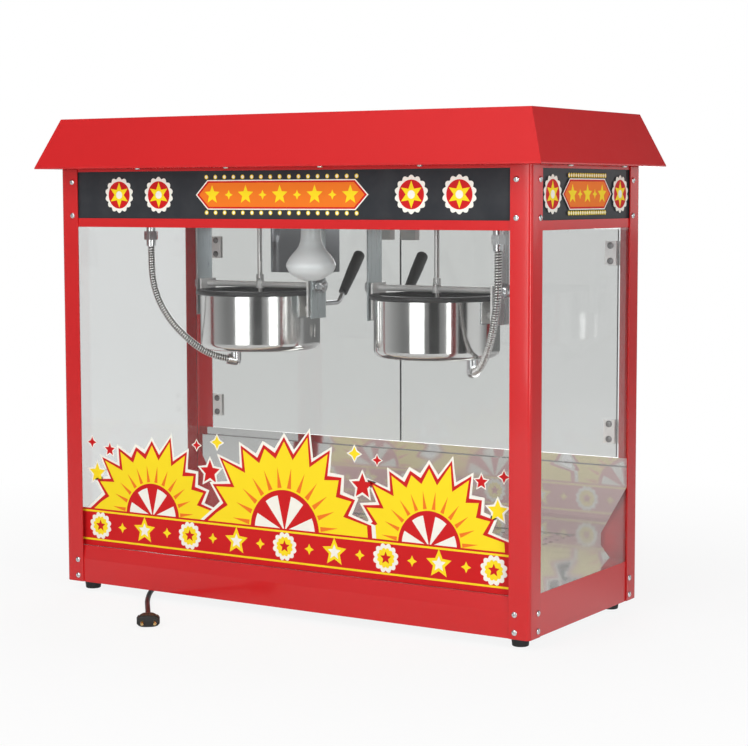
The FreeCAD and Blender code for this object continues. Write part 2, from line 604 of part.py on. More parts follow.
def sifter():
    """Perforated plate that closes the deck's opening from below."""
    sieve = body("Sifter")
    pad = sieve.newObject("PartDesign::Pad", "SifterSheet")
    wide = "2*(sifter_half + sifter_lap)"
    long = "(sifter_back - sifter_front + 2*sifter_lap)"
    pad.Profile = outline(sieve, "XY_Plane", (("0", "0"), (wide, "0"), (wide, long), ("0", long)))
    pad.setExpression("Length", bind("deck_gauge"))
    doc.recompute()
    first = sieve.newObject("Sketcher::SketchObject", "SifterHole")
    axes = {item.Role: item for item in sieve.Origin.OriginFeatures}
    first.AttachmentSupport = (axes["XY_Plane"], [""])
    first.MapMode = "FlatFace"
    columns = "floor((2*sifter_half - 2*sifter_side)/sifter_pitch)"
    rows = "floor((sifter_back - sifter_front - 2*sifter_end)/sifter_pitch)"
    hole_x = f"sifter_half + sifter_lap - sifter_pitch*{columns}/2"
    hole_y = f"{long}/2 - sifter_pitch*{rows}/2"
    centre = Vector(size(hole_x), size(hole_y), 0)
    first.addGeometry(Part.Circle(centre, Vector(0, 0, 1), size("sifter_hole")), False)
    for kind, text in (("DistanceX", hole_x), ("DistanceY", hole_y)):
        datum = first.addConstraint(Sketcher.Constraint(kind, -1, 1, 0, 3, size(text)))
        first.setExpression(f"Constraints[{datum}]", bind(text))
    datum = first.addConstraint(Sketcher.Constraint("Radius", 0, size("sifter_hole")))
    first.setExpression(f"Constraints[{datum}]", bind("sifter_hole"))
    pocket = sieve.newObject("PartDesign::Pocket", "SifterPunch")
    pocket.Profile = first
    pocket.Type = "ThroughAll"
    pocket.Midplane = True
    doc.recompute()
    grid = sieve.newObject("PartDesign::MultiTransform", "SifterGrid")
    steps = []
    for role, count in (("X_Axis", columns), ("Y_Axis", rows)):
        step = doc.addObject("PartDesign::LinearPattern", f"Sifter{role[0]}")
        step.Direction = (axes[role], [""])
        step.setExpression("Length", bind(f"sifter_pitch*{count}"))
        step.setExpression("Occurrences", bind(f"{count} + 1"))
        steps.append(step)
    grid.Originals = [pocket]
    grid.Transformations = steps
    sieve.Tip = grid
    return place(sieve, "-(sifter_half + sifter_lap)", "sifter_front - sifter_lap", "deck_level - deck_gauge")


def kernel_drawer():
    """Tray under the perforated deck, with its front outside the rear panel and two runners."""
    low = f"{FLOOR_TOP} + runner_height + slide_gap"
    top = f"{low} + drawer_height"
    face = f"{POST_IN_Y} + slide_gap"
    back = f"{face} - drawer_length"
    tray = block("DrawerTray", both("drawer_width/2"), (back, face), (low, top))
    room = block("DrawerRoom", both("drawer_width/2 - drawer_wall"),
                 (f"{back} + drawer_wall", face), (f"{low} + drawer_wall", f"{top} + drawer_wall"))
    front = block("DrawerFront", both("drawer_width/2 + drawer_flange"), (face, f"{face} + sheet_gauge"),
                  (low, f"{top} + drawer_flange"))
    pull_face = f"{face} + sheet_gauge"
    pull_low = f"{low} + pull_level"
    bow = block("DrawerBow", both("pull_half"), (pull_face, f"{pull_face} + pull_reach"),
                (pull_low, f"{pull_low} + pull_bar"))
    gap = block("DrawerBowGap", both("pull_half - pull_bar"), (pull_face, f"{pull_face} + pull_room"),
                (pull_low, f"{pull_low} + pull_bar"))
    shell = fuse("DrawerShell", [cut("DrawerHollow", tray, [room]), front])
    node("kernel_drawer", group("KernelDrawer", [shell, cut("DrawerHandle", bow, [gap])]))
    track = ("drawer_width/2 - runner_width*2", "drawer_width/2 - runner_width")
    runners = [block(f"Runner{s}", side_span(s, *track), (back, f"{POST_IN_Y} - sheet_gauge"),
                     (FLOOR_TOP, f"{FLOOR_TOP} + runner_height")) for name, s in LEFT_RIGHT]
    node("drawer_runners", group("DrawerRunners", runners))


def fixed_panes():
    """Front pane on the folded ledge, side panes behind the posts."""
    front = block("FrontPane", both(f"{POST_IN_X} - pane_gauge"),
                  (f"-{GLASS_FRONT}", f"-{GLASS_FRONT} + pane_gauge"), ("base_front_top", "rail_bottom"))
    node("front_glass", front)
    sides = [block(f"SidePane{s}", side_span(s, f"{POST_IN_X} - pane_gauge", POST_IN_X),
                   (f"-({POST_IN_Y} - sheet_gauge)", f"{POST_IN_Y} - sheet_gauge - door_gauge"),
                   ("base_side_top", "rail_bottom")) for name, s in LEFT_RIGHT]
    node("side_glass", group("SideGlass", sides))


def sign_band():
    """Rails on all four sides, black sign panels on three, the control panel at the back."""
    lip_in = "rail_lip_gauge"
    low = (("0", "rail_bottom"), ("rail_depth", "rail_bottom"), ("rail_depth", RAIL_TOP), (lip_in, RAIL_TOP),
           (lip_in, f"{RAIL_TOP} + rail_lip"), ("0", f"{RAIL_TOP} + rail_lip"))
    high = (("0", "post_top"), ("rail_depth", "post_top"), ("rail_depth", "post_top - rail_lip_gauge"),
            (lip_in, "post_top - rail_lip_gauge"), (lip_in, "post_top - rail_lip"),
            ("0", "post_top - rail_lip"))
    rails = []
    for level, profile in (("Low", low), ("High", high)):
        rails.append(section_bar(f"FrontRail{level}", [(f"{d} - ({POST_IN_Y})", z) for d, z in profile],
                                 both(POST_IN_X)))
        for name, s in LEFT_RIGHT:
            part = body(f"SideRail{level}{name}")
            pad = part.newObject("PartDesign::Pad", f"{part.Name}Bar")
            pad.Profile = outline(part, "XZ_Plane", [(f"{s}*({POST_IN_X} - ({d}))", z) for d, z in profile])
            pad.setExpression("Length", bind(f"2*({POST_IN_Y} - rail_depth)"))
            rails.append(place(part, y=f"{POST_IN_Y} - rail_depth"))
    rear = (f"{POST_IN_Y} - rail_depth", POST_IN_Y)
    rails.append(block("RearRailLow", both(POST_IN_X), rear, ("rail_bottom", RAIL_TOP)))
    rails.append(block("RearRailHigh", both(POST_IN_X), rear, ("post_top - rail_lip_gauge", "post_top")))
    node("sign_rails", group("SignRails", rails))
    tall = (RAIL_TOP, "post_top - rail_lip_gauge")
    depth = (f"{POST_IN_Y} - rail_lip_gauge - sign_gauge", f"{POST_IN_Y} - rail_lip_gauge")
    signs = [block("FrontSign", both(POST_IN_X), side_span(-1, *depth), tall)]
    across = (f"{POST_IN_X} - rail_lip_gauge - sign_gauge", f"{POST_IN_X} - rail_lip_gauge")
    for name, s in LEFT_RIGHT:
        signs.append(block(f"SideSign{s}", side_span(s, *across), both(f"{POST_IN_Y} - rail_depth"), tall))
    node("sign_panels", group("SignPanels", signs))
    panel = block("ControlSheet", both(POST_IN_X), (f"{POST_IN_Y} - sheet_gauge", POST_IN_Y), tall)
    spread = "case_wall + case_gap"
    through = (f"{POST_IN_Y} - sheet_gauge", POST_IN_Y)
    tall_hole = around("switch_level", f"rocker_reach + {spread}")
    holes = [block(f"SwitchHole{i}", around(f"switch_pitch*{i}", f"rocker_half + {spread}"), through,
                   tall_hole) for i in (-1, 0, 1)]
    node("control_panel", cut("ControlPanel", panel, holes))


def switches():
    """Rocker switches: housings in the control panel and the rockers in them."""
    housings = []
    for name, i in (("left", -1), ("centre", 0), ("right", 1)):
        middle = f"switch_pitch*{i}"
        front = f"{POST_IN_Y} + bezel_gauge"
        frame = block(f"SwitchFrame{i}", around(middle, "rocker_half + bezel_wall"), (POST_IN_Y, front),
                      around("switch_level", "rocker_reach + bezel_wall"))
        case = block(f"SwitchCase{i}", around(middle, "rocker_half + case_wall"),
                     (f"{POST_IN_Y} - switch_depth", POST_IN_Y),
                     around("switch_level", "rocker_reach + case_wall"))
        room = block(f"SwitchRoom{i}", around(middle, "rocker_half + switch_gap"),
                     (f"{POST_IN_Y} - rocker_room", front),
                     around("switch_level", "rocker_reach + rocker_sweep"))
        pivot = (f"{POST_IN_Y} - pivot_depth", "switch_level", ACROSS)
        reach = "rocker_half + switch_gap + pivot_seat"
        seat = rod(f"PivotSeat{i}", "pivot_radius + fit_gap", f"2*({reach} + slide_gap)",
                   f"{middle} - ({reach} + slide_gap)", *pivot)
        housings.append(cut(f"SwitchHousing{i}", fuse(f"SwitchShell{i}", [frame, case]), [room, seat]))
        profile = (("-rocker_back", "-rocker_reach + rocker_taper"), ("rocker_front", "-rocker_reach"),
                   ("rocker_waist", "0"), ("rocker_front", "rocker_reach"),
                   ("-rocker_back", "rocker_reach - rocker_taper"))
        cap = section_bar(f"RockerCap{i}", profile, both("rocker_half"))
        place(cap, f"{middle} - rocker_half", *pivot[:2],
              FreeCAD.Rotation(Vector(1, 0, 0), -size("rocker_tip")))
        pin = rod(f"RockerPin{i}", "pivot_radius", f"2*({reach})", f"{middle} - ({reach})", *pivot)
        node(f"{name}_rocker", fuse(f"Rocker{i}", [cap, pin]))
    node("switch_housings", group("SwitchHousings", housings))


def ceiling():
    """Flat stainless ceiling on skirts that stand on the sign rails."""
    half_x = f"({POST_IN_X} - ceiling_inset)"
    half_y = f"({POST_IN_Y} - ceiling_inset)"
    plate = block("CeilingPlate", both(half_x), both(half_y), ("ceiling_level", CEILING_TOP))
    holes = [rod(f"ShaftHole{s}", "drive_radius + shaft_room", "sheet_gauge", f"{s}*kettle_x", "kettle_y",
                 "ceiling_level") for name, s in LEFT_RIGHT]
    skirts = []
    for name, s in LEFT_RIGHT:
        skirts.append(block(f"SkirtY{name}", both(half_x), side_span(s, f"{half_y} - sheet_gauge", half_y),
                            (RAIL_TOP, "ceiling_level")))
        skirts.append(block(f"SkirtX{name}", side_span(s, f"{half_x} - sheet_gauge", half_x),
                            both(f"{half_y} - sheet_gauge"), (RAIL_TOP, "ceiling_level")))
    node("ceiling", group("Ceiling", [cut("CeilingPunched", plate, holes)] + skirts))


def roof():
    """Flat eave frame on the posts, and the hip cover over it."""
    half_x = "cab_width/2 + eave_overhang"
    half_y = "cab_depth/2 + eave_overhang"
    eave_top = "post_top + eave_gauge"
    plate = block("EavePlate", both(half_x), both(half_y), ("post_top", eave_top))
    hole = block("EaveHole", both(f"{half_x} - eave_border"), both(f"{half_y} - eave_border"),
                 ("post_top", eave_top))
    node("roof_frame", cut("RoofFrame", plate, [hole]))
    hips = []
    for name, inset in (("Outer", "0"), ("Inner", "sheet_gauge")):
        height = f"roof_height - {inset}"
        wide = (f"{half_x} - {inset}", f"{half_y} - {inset}")
        lean = f"roof_slope_in*({height})/roof_height"
        hip = make("Part::Wedge", f"Roof{name}", Xmin=f"-({wide[0]})", Xmax=wide[0], Zmin=f"-({wide[1]})",
                   Zmax=wide[1], X2min=f"-({wide[0]} - {lean})", X2max=f"{wide[0]} - {lean}",
                   Z2min=f"-({wide[1]} - {lean})", Z2max=f"{wide[1]} - {lean}", Ymin="0", Ymax=height)
        hips.append(place(hip, z=eave_top, turn=FORWARD))
    node("roof_shell", cut("RoofShell", hips[0], [hips[1]]))


def cabinet_screws():
    """Pan-head screws on the posts' faces and under the eaves."""
    screws = []

    def screw(x, y, z, turn):
        head = make("Part::Cone", f"Screw{len(screws)}", Radius1="screw_radius", Radius2="screw_radius*0.6",
                    Height="screw_head")
        screws.append(place(head, x, y, z, turn))

    levels = ("post_top - screw_top", "post_top - screw_sign", "foot_height + screw_base",
              "foot_height + screw_floor")
    inset = "(post_leg - screw_edge)"
    side_inset = "(post_leg - screw_side_edge)"
    for sx, sy in BRANCHES:
        for z in levels:
            screw(f"{sx}*(cab_width/2 - {inset})", f"{sy}*cab_depth/2", z, BACKWARD if sy > 0 else FORWARD)
            screw(f"{sx}*cab_width/2", f"{sy}*(cab_depth/2 - {side_inset})", z,
                  FreeCAD.Rotation(Vector(0, 1, 0), 90 * sx))
    downward = FreeCAD.Rotation(Vector(1, 0, 0), 180)
    for s in (-1, 1):
        for i in (-3, -1, 1, 3):
            screw(f"eave_screw_long/2*{i}", f"{s}*(cab_depth/2 + eave_overhang/2)", "post_top", downward)
        for i in (-1, 1):
            screw(f"{s}*(cab_width/2 + eave_overhang/2)", f"eave_screw_short/2*{i}", "post_top", downward)
    node("cabinet_screws", group("CabinetScrews", screws))


def door_hinge(name, s, spot, level):
    """One hinge: its solids on the door, the holes in the pane, and its solid on the post."""
    tag = f"{name}{spot}"
    pin_x = f"{s}*({HINGE_X})"
    low = f"({level} - hinge_height/2)"
    high = f"({level} + hinge_height/2)"
    third = "hinge_height/3"
    plate = block(f"DoorLeaf{tag}", side_span(s, f"{HINGE_X} - hinge_leaf", HINGE_X), LEAF_Y, (low, high))
    notch = side_span(s, f"{HINGE_X} - hinge_barrel - slide_gap", HINGE_X)
    ends = [block(f"LeafNotchLow{tag}", notch, LEAF_Y, (low, f"{low} + {third} + slide_gap")),
            block(f"LeafNotchHigh{tag}", notch, LEAF_Y, (f"{high} - {third} - slide_gap", high))]
    barrel = rod(f"DoorBarrel{tag}", "hinge_barrel", f"{third} - 2*slide_gap", pin_x, HINGE_Y,
                 f"{low} + {third} + slide_gap")
    bore = rod(f"DoorBore{tag}", "hinge_pin + fit_gap", "hinge_height", pin_x, HINGE_Y, low)
    swing = fuse(f"DoorSwing{tag}", [cut(f"DoorPlate{tag}", plate, ends), barrel])
    clamp = block(f"ClampPlate{tag}", side_span(s, f"{HINGE_X} - hinge_leaf", f"{HINGE_X} - clamp_setback"),
                  CLAMP_Y, (low, high))
    bolt_x = f"{s}*({HINGE_X} - hinge_bolt_set)"
    through = f"{LEAF_Y[1]} - ({CLAMP_Y[0]})"
    bolts = []
    holes = []
    for i in (-1, 1):
        z = f"{level} + hinge_bolt_pitch/2*{i}"
        start = (bolt_x, CLAMP_Y[0], z, BACKWARD)
        holes.append(rod(f"BoltHole{tag}{i}", "hinge_bolt + fit_gap", through, *start))
        shank = rod(f"Bolt{tag}{i}", "hinge_bolt", through, *start)
        nut = hexagon(f"Nut{tag}{i}", "hinge_bolt*1.9", "hinge_nut")
        place(nut, bolt_x, LEAF_Y[1], z, BACKWARD)
        head = make("Part::Cone", f"BoltHead{tag}{i}", Radius1="hinge_bolt*1.7", Radius2="hinge_bolt",
                    Height="hinge_head")
        place(head, bolt_x, CLAMP_Y[0], z, FORWARD)
        bolts.append(fuse(f"BoltSet{tag}{i}", [shank, nut, head]))
    on_door = bolts + [cut(f"DoorLeafBored{tag}", swing, [bore] + holes),
                       cut(f"ClampBored{tag}", clamp, holes)]
    fixed = block(f"FrameLeaf{tag}", side_span(s, HINGE_X, f"{HINGE_X} + hinge_leaf"),
                  ("cab_depth/2", "cab_depth/2 + hinge_gauge"), (low, high))
    relief = rod(f"FrameRelief{tag}", "hinge_barrel + slide_gap", third, pin_x, HINGE_Y, f"{low} + {third}")
    knuckles = [rod(f"FrameBarrelLow{tag}", "hinge_barrel", third, pin_x, HINGE_Y, low),
                rod(f"FrameBarrelHigh{tag}", "hinge_barrel", third, pin_x, HINGE_Y, f"{high} - {third}")]
    pin = rod(f"HingePin{tag}", "hinge_pin", "hinge_height", pin_x, HINGE_Y, low)
    on_post = fuse(f"FrameHinge{tag}", [cut(f"FramePlate{tag}", fixed, [relief]), pin] + knuckles)
    return on_door, holes, on_post


def rear_doors():
    """Clear doors, each on two bolted hinges, with a knob and a magnetic catch."""
    on_posts = []
    catches = []
    for name, s in LEFT_RIGHT:
        pane = block(f"Pane{name}", side_span(s, "door_gap/2", "cab_width/2 - post_leg - door_gap"), DOOR_Y,
                     ("door_level", "door_top"))
        holes = []
        hardware = []
        for spot, level in (("Low", "hinge_low"), ("High", "hinge_high")):
            on_door, bored, on_post = door_hinge(name, s, spot, level)
            hardware += on_door
            holes += bored
            on_posts.append(on_post)
        node(f"{name}_door_pane", cut(f"DoorPane{name}", pane, holes))
        knob = lathe(f"Knob{name}", (("0", "0"), ("knob_foot", "0"), ("knob_neck", "knob_reach/6"),
                                     ("knob_neck", "knob_reach*0.45"), ("knob_radius", "knob_reach*0.6"),
                                     ("knob_radius", "knob_reach"), ("0", "knob_reach")),
                     (("knob_radius", "knob_reach", "knob_round"),))
        hardware.append(place(knob, f"{s}*knob_x", "cab_depth/2", "knob_level", BACKWARD))
        drop = "(door_top - catch_drop)"
        hardware.append(block(f"Strike{name}", around(f"{s}*catch_x", "strike_width/2"), CLAMP_Y,
                              (drop, f"{drop} + strike_width*0.8")))
        node(f"{name}_door_hardware", group(f"DoorHardware{name}", hardware))
        deep = (f"{CLAMP_Y[0]} - catch_depth", f"{CLAMP_Y[0]} - slide_gap")
        catches.append(block(f"Catch{name}", around(f"{s}*catch_x", "catch_width/2"), deep,
                             (drop, "rail_bottom")))
    node("frame_hinges", group("FrameHinges", on_posts))
    node("door_catches", group("DoorCatches", catches))


def lamp():
    """Reflector bulb in a holder under the ceiling."""
    plate = "ceiling_level - lamp_plate_gauge"
    turns = (("lamp_face", "lamp_low", "lamp_face_round"),
             ("lamp_bowl", "lamp_low + lamp_bowl_up", "lamp_bowl_round"),
             ("lamp_radius", "lamp_low + lamp_wide", "lamp_wide_round"),
             ("lamp_shoulder", "lamp_low + lamp_shoulder_up", "lamp_shoulder_round"),
             ("lamp_throat", "lamp_low + lamp_throat_up", "lamp_throat_round"))
    corners = [("0", "lamp_low")] + [(radius, level) for radius, level, amount in turns]
    corners += [("lamp_neck", "lamp_low + lamp_neck_level"), ("lamp_cap_radius", "lamp_cap"),
                ("0", "lamp_cap")]
    bulb = lathe("Bulb", corners, turns)
    node("lamp_bulb", place(bulb, y="lamp_y"))
    holder = lathe("LampHolder", (("0", "lamp_cap"), ("lamp_neck", "lamp_cap"), ("lamp_neck", plate),
                                  ("lamp_plate", plate), ("lamp_plate", "ceiling_level"),
                                  ("0", "ceiling_level")))
    node("lamp_holder", place(holder, y="lamp_y"))


def wiring_box():
    """Polished box under the ceiling for the kettle's wiring, open at the top."""
    case = block("WiringCase", around("wiring_x", "wiring_width/2"), around("wiring_y", "wiring_depth/2"),
                 ("wiring_low", "ceiling_level"))
    room = block("WiringRoom", around("wiring_x", "wiring_width/2 - sheet_gauge"),
                 around("wiring_y", "wiring_depth/2 - sheet_gauge"),
                 ("wiring_low + sheet_gauge", "ceiling_level"))
    node("wiring_box", cut("WiringBox", case, [room]))


def stir_motors():
    """Gearboxes and motors on the ceiling, each with a blind bore for its drive shaft."""
    motors = []
    for name, s in LEFT_RIGHT:
        x = f"{s}*kettle_x"
        box = block(f"Gearbox{name}", around(x, "motor_size/2"), around("kettle_y", "motor_size/2"),
                    (CEILING_TOP, f"{CEILING_TOP} + motor_height"))
        can = rod(f"MotorCan{name}", "motor_can", "motor_height", x, "kettle_y",
                  f"{CEILING_TOP} + motor_height")
        bore = rod(f"MotorBore{name}", "drive_radius + fit_gap", "motor_bore", x, "kettle_y", CEILING_TOP)
        motors.append(cut(f"Motor{name}", fuse(f"MotorBody{name}", [box, can]), [bore]))
    node("stir_motors", group("StirMotors", motors))


def kettle_hangers():
    """Plates under the ceiling that carry the crossbars' ends."""
    hangers = []
    for name, s in LEFT_RIGHT:
        for end in (-1, 1):
            near = f"{s}*kettle_x + {end}*hanger_offset"
            wall = sorted((near, f"{near} + {end}*hanger_gauge"), key=size)
            foot = sorted((near, f"{near} + {end}*hanger_foot"), key=size)
            deep = around("kettle_y", "hanger_half")
            tag = f"{name}{end}"
            plate = block(f"HangerPlate{tag}", wall, deep, ("tilt_level - hanger_drop", "ceiling_level"))
            flange = block(f"HangerFlange{tag}", foot, deep,
                           ("ceiling_level - hanger_gauge", "ceiling_level"))
            hole = rod(f"HangerHole{tag}", "bar_radius + fit_gap", "hanger_gauge", wall[0], "kettle_y",
                       "tilt_level", ACROSS)
            hangers.append(cut(f"Hanger{tag}", fuse(f"HangerAngle{tag}", [plate, flange]), [hole]))
    node("kettle_hangers", group("KettleHangers", hangers))


def kettle(name, s):
    """Shell, pan, heater, tilting yoke and handle of one kettle."""
    x = f"{s}*kettle_x"
    shell = lathe(f"Shell{name}", (("0", "shell_low"), ("shell_radius", "shell_low"),
                                   ("shell_radius", "rim_low"), ("shell_radius - shell_wall", "rim_low"),
                                   ("shell_radius - shell_wall", "shell_low + shell_wall"),
                                   ("0", "shell_low + shell_wall")),
                  (("shell_radius", "shell_low", "shell_round"),
                   ("shell_radius - shell_wall", "shell_low + shell_wall", "shell_round - shell_wall")))
    node(f"{name}_kettle_shell", place(shell, x, "kettle_y"))
    outer = "pan_radius + pan_wall"
    under = "pan_floor - pan_base"
    pan = lathe(f"Pan{name}", (("0", under), (outer, under), (outer, "rim_low"), ("rim_radius", "rim_low"),
                               ("rim_radius", "rim_high"), ("pan_radius", "rim_high"),
                               ("pan_radius", "pan_floor"), ("0", "pan_floor")),
                ((outer, under, "pan_round"), ("pan_radius", "pan_floor", "pan_round"),
                 ("rim_radius", "rim_high", "rim_round"), ("rim_radius", "rim_low", "rim_round")))
    node(f"{name}_pan", place(pan, x, "kettle_y"))
    inside = "shell_low + shell_wall"
    heater = rod(f"Heater{name}", "pan_radius - heater_margin", f"{under} - ({inside})", x, "kettle_y",
                 inside)
    node(f"{name}_heater", heater)
    ear_in = "rim_radius + ear_gap"
    reach = "hanger_offset + hanger_gauge + bar_end"
    bar = rod(f"Bar{name}", "bar_radius", f"2*({reach})", f"{x} - ({reach})", "kettle_y", "tilt_level",
              ACROSS)
    boss_low = "tilt_level - bar_radius - boss_under"
    boss_height = "2*bar_radius + boss_under - boss_over"
    boss = rod(f"Boss{name}", "bar_boss", boss_height, x, "kettle_y", boss_low)
    bore = rod(f"BossBore{name}", "stir_radius + fit_gap", "4*bar_radius", x, "kettle_y",
               "tilt_level - 2*bar_radius")
    welded = [bar, boss]
    for end in (-1, 1):
        plate = sorted((f"{x} + {end}*({ear_in})", f"{x} + {end}*({ear_in} + ear_gauge)"), key=size)
        welded.append(block(f"Ear{name}{end}", plate, around("kettle_y", "ear_half"),
                            ("tilt_level - ear_drop", "tilt_level + ear_rise")))
        spacer = sorted((f"{x} + {end}*(shell_radius + fit_gap)",
                         f"{x} + {end}*({ear_in} + spacer_seat)"), key=size)
        welded.append(rod(f"Spacer{name}{end}", "spacer_radius", f"{spacer[1]} - ({spacer[0]})", spacer[0],
                          "kettle_y", "tilt_level - spacer_drop", ACROSS))
        head = make("Part::Cone", f"EarBolt{name}{end}", Radius1="ear_bolt", Radius2="ear_bolt*0.75",
                    Height="ear_bolt_head")
        welded.append(place(head, f"{x} + {end}*({ear_in} + ear_gauge)", "kettle_y",
                            "tilt_level - spacer_drop", FreeCAD.Rotation(Vector(0, 1, 0), 90 * end)))
    node(f"{name}_yoke", cut(f"Yoke{name}", fuse(f"YokeWeld{name}", welded), [bore]))
    handle(name, s, f"{x} - {s}*({ear_in} + ear_gauge/2)")
    stub = rod(f"ElbowStub{name}", "elbow_radius", "shell_low - elbow_level", f"{s}*elbow_x", "elbow_y",
               "elbow_level")
    knee = make("Part::Sphere", f"ElbowKnee{name}", Radius="elbow_radius")
    place(knee, f"{s}*elbow_x", "elbow_y", "elbow_level")
    outlet = rod(f"ElbowOutlet{name}", "elbow_radius", "elbow_reach", f"{s}*elbow_x", "elbow_y",
                 "elbow_level", FreeCAD.Rotation(Vector(0, 0, 1), elbow_heading(s)))
    node(f"{name}_elbow", fuse(f"Elbow{name}", [stub, knee, outlet]))


def elbow_heading(s):
    """Direction of an elbow's outlet: towards its ceiling fitting, a little upwards."""
    plan = Vector(s * size("fitting_x - elbow_x"), size("fitting_y - elbow_y"), 0).normalize()
    rise = math.radians(size("elbow_rise"))
    return plan * math.cos(rise) + Vector(0, 0, math.sin(rise))


def handle(name, s, x):
    """Bent rod behind the inner ear, with a tapered grip on its end."""
    rise = size("handle_rise")
    up = Vector(0, math.cos(math.radians(rise)), math.sin(math.radians(rise)))
    start = Vector(size(x), size("kettle_y + ear_half"), size("tilt_level - handle_drop"))
    bend = Vector(size(x), size("kettle_y + handle_reach"), size("tilt_level - handle_drop"))
    butt = bend + up * size("grip_start")
    end = butt + up * (size("grip_bore_depth") - size("slide_gap"))
    path = rounded_path([start, bend, end], size("handle_turn"))
    node(f"{name}_handle_rod", solid(f"HandleRod{name}", sweep_round(path, size("handle_radius"))))
    bore = "handle_radius + fit_gap"
    grip = lathe(f"Grip{name}", ((bore, "0"), ("grip_thin", "0"), ("grip_thick", "grip_length*0.6"),
                                 ("grip_thick", "grip_length"), ("0", "grip_length"),
                                 ("0", "grip_bore_depth"), (bore, "grip_bore_depth")),
                 (("grip_thick", "grip_length", "grip_round"),))
    place(grip, str(butt.x), str(butt.y), str(butt.z), FreeCAD.Rotation(Vector(1, 0, 0), rise - 90))
    node(f"{name}_grip", grip)


def stirrer(name, s):
    """Shaft with arms over the pan's floor, and a fork that the drive tongue turns."""
    x = f"{s}*kettle_x"
    low = "pan_floor + stir_gap"
    seat = "collar_level + stir_disc_gauge/2"
    pieces = [rod(f"StirShaft{name}", "stir_radius", f"{seat} - ({low})", x, "kettle_y", low),
              rod(f"StirDisc{name}", "stir_disc", "stir_disc_gauge", x, "kettle_y", "collar_level"),
              rod(f"StirHub{name}", "stir_hub", "stir_hub_height", x, "kettle_y", low)]
    for i, (across, along) in enumerate((("stir_arm", "stir_bar"), ("stir_bar", "stir_cross"))):
        pieces.append(block(f"StirArm{name}{i}", around(x, across), around("kettle_y", along),
                            (low, f"{low} + stir_bar_gauge")))
    for end in (-1, 1):
        blade = sorted((f"{x} + {end}*stir_arm", f"{x} + {end}*(stir_arm - stir_blade)"), key=size)
        pieces.append(block(f"StirBlade{name}{end}", blade, around("kettle_y", "stir_bar"),
                            (low, f"{low} + stir_blade_height")))
        prong = sorted((f"{x} + {end}*(tongue_gauge/2 + tongue_gap)", f"{x} + {end}*fork_half"), key=size)
        pieces.append(block(f"StirProng{name}{end}", prong, around("kettle_y", "fork_depth"),
                            (seat, "collar_level + fork_top")))
    node(f"{name}_stirrer", fuse(f"Stirrer{name}", pieces))


def drive_shaft(name, s):
    """Shaft from the gearbox down to a flat tongue over the kettle."""
    x = f"{s}*kettle_x"
    top = f"{CEILING_TOP} + motor_bore - slide_gap"
    shaft = rod(f"DriveRod{name}", "drive_radius", f"{top} - drive_shoulder", x, "kettle_y", "drive_shoulder")
    tip = "drive_shoulder - tongue_length"
    flat = block(f"TongueFlat{name}", around(x, "tongue_gauge/2"), around("kettle_y", "drive_radius"),
                 (tip, "drive_shoulder"))
    blade = doc.addObject("Part::Common", f"TongueBlade{name}")
    blade.Base = flat
    blade.Tool = rod(f"TongueRound{name}", "drive_radius", "tongue_length", x, "kettle_y", tip)
    node(f"{name}_drive_shaft", fuse(f"DriveShaft{name}", [shaft, blade]))


def rounded_path(points, largest=None):
    """Straight runs joined by tangent arcs, each as large as its two runs allow."""
    edges = []
    last = points[0]
    for before, corner, after in zip(points, points[1:], points[2:]):
        back = (before - corner).normalize()
        ahead = (after - corner).normalize()
        half_turn = (math.pi - back.getAngle(ahead)) / 2
        shorter = min((before - corner).Length, (after - corner).Length)
        radius = 0.45 * shorter / math.tan(half_turn)
        radius = min(radius, largest) if largest else radius
        reach = radius * math.tan(half_turn)
        middle = corner + (back + ahead).normalize() * (radius / math.cos(half_turn) - radius)
        start = corner + back * reach
        end = corner + ahead * reach
        edges.append(Part.LineSegment(last, start).toShape())
        edges.append(Part.Arc(start, middle, end).toShape())
        last = end
    edges.append(Part.LineSegment(last, points[-1]).toShape())
    return Part.Wire(edges)


def sweep_round(path, radius):
    """A round tube along a path, its volume compared with its section times its length."""
    edge = path.OrderedEdges[0]
    section = Part.Circle(edge.valueAt(edge.FirstParameter), edge.tangentAt(edge.FirstParameter), radius)
    tube = path.makePipeShell([Part.Wire([section.toShape()])], True, False)
    share = tube.Volume / (math.pi * radius ** 2 * path.Length)
    if abs(share - 1) > 0.01:
        raise ValueError(f"swept tube has {share:.3f} of its volume")
    return tube


CONDUIT_STEPS = ((18, 3.8), (42, 15), (69, 36), (94, 63), (112, 94), (122, 126))


def conduit_route(s):
    """Elbow to ceiling fitting, in a slack curve that steepens in one upright plane."""
    elbow = Vector(s * size("elbow_x"), size("elbow_y"), size("elbow_level"))
    start = elbow + elbow_heading(s) * size("elbow_reach + slide_gap")
    top = Vector(s * size("fitting_x"), size("fitting_y"), size("fitting_low"))
    plan = Vector(top.x - start.x, top.y - start.y, 0).normalize()
    steps = [start + plan * along + Vector(0, 0, up) for along, up in CONDUIT_STEPS]
    return [start] + steps + [top - Vector(0, 0, size("fitting_run")), top]


def stations(path, count):
    """Points and headings evenly spaced along a path."""
    found = []
    done = 0
    step = path.Length / count
    for edge in path.OrderedEdges:
        ends = (edge.FirstParameter, edge.LastParameter)
        flip = edge.Orientation == "Reversed"
        while len(found) * step <= done + edge.Length + 1e-6 and len(found) <= count:
            along = min(max(len(found) * step - done, 0), edge.Length)
            spot = edge.getParameterByLength(edge.Length - along if flip else along)
            heading = edge.tangentAt(min(max(spot, min(ends)), max(ends)))
            found.append((edge.valueAt(spot), heading * (-1 if flip else 1)))
        done += edge.Length
    return found


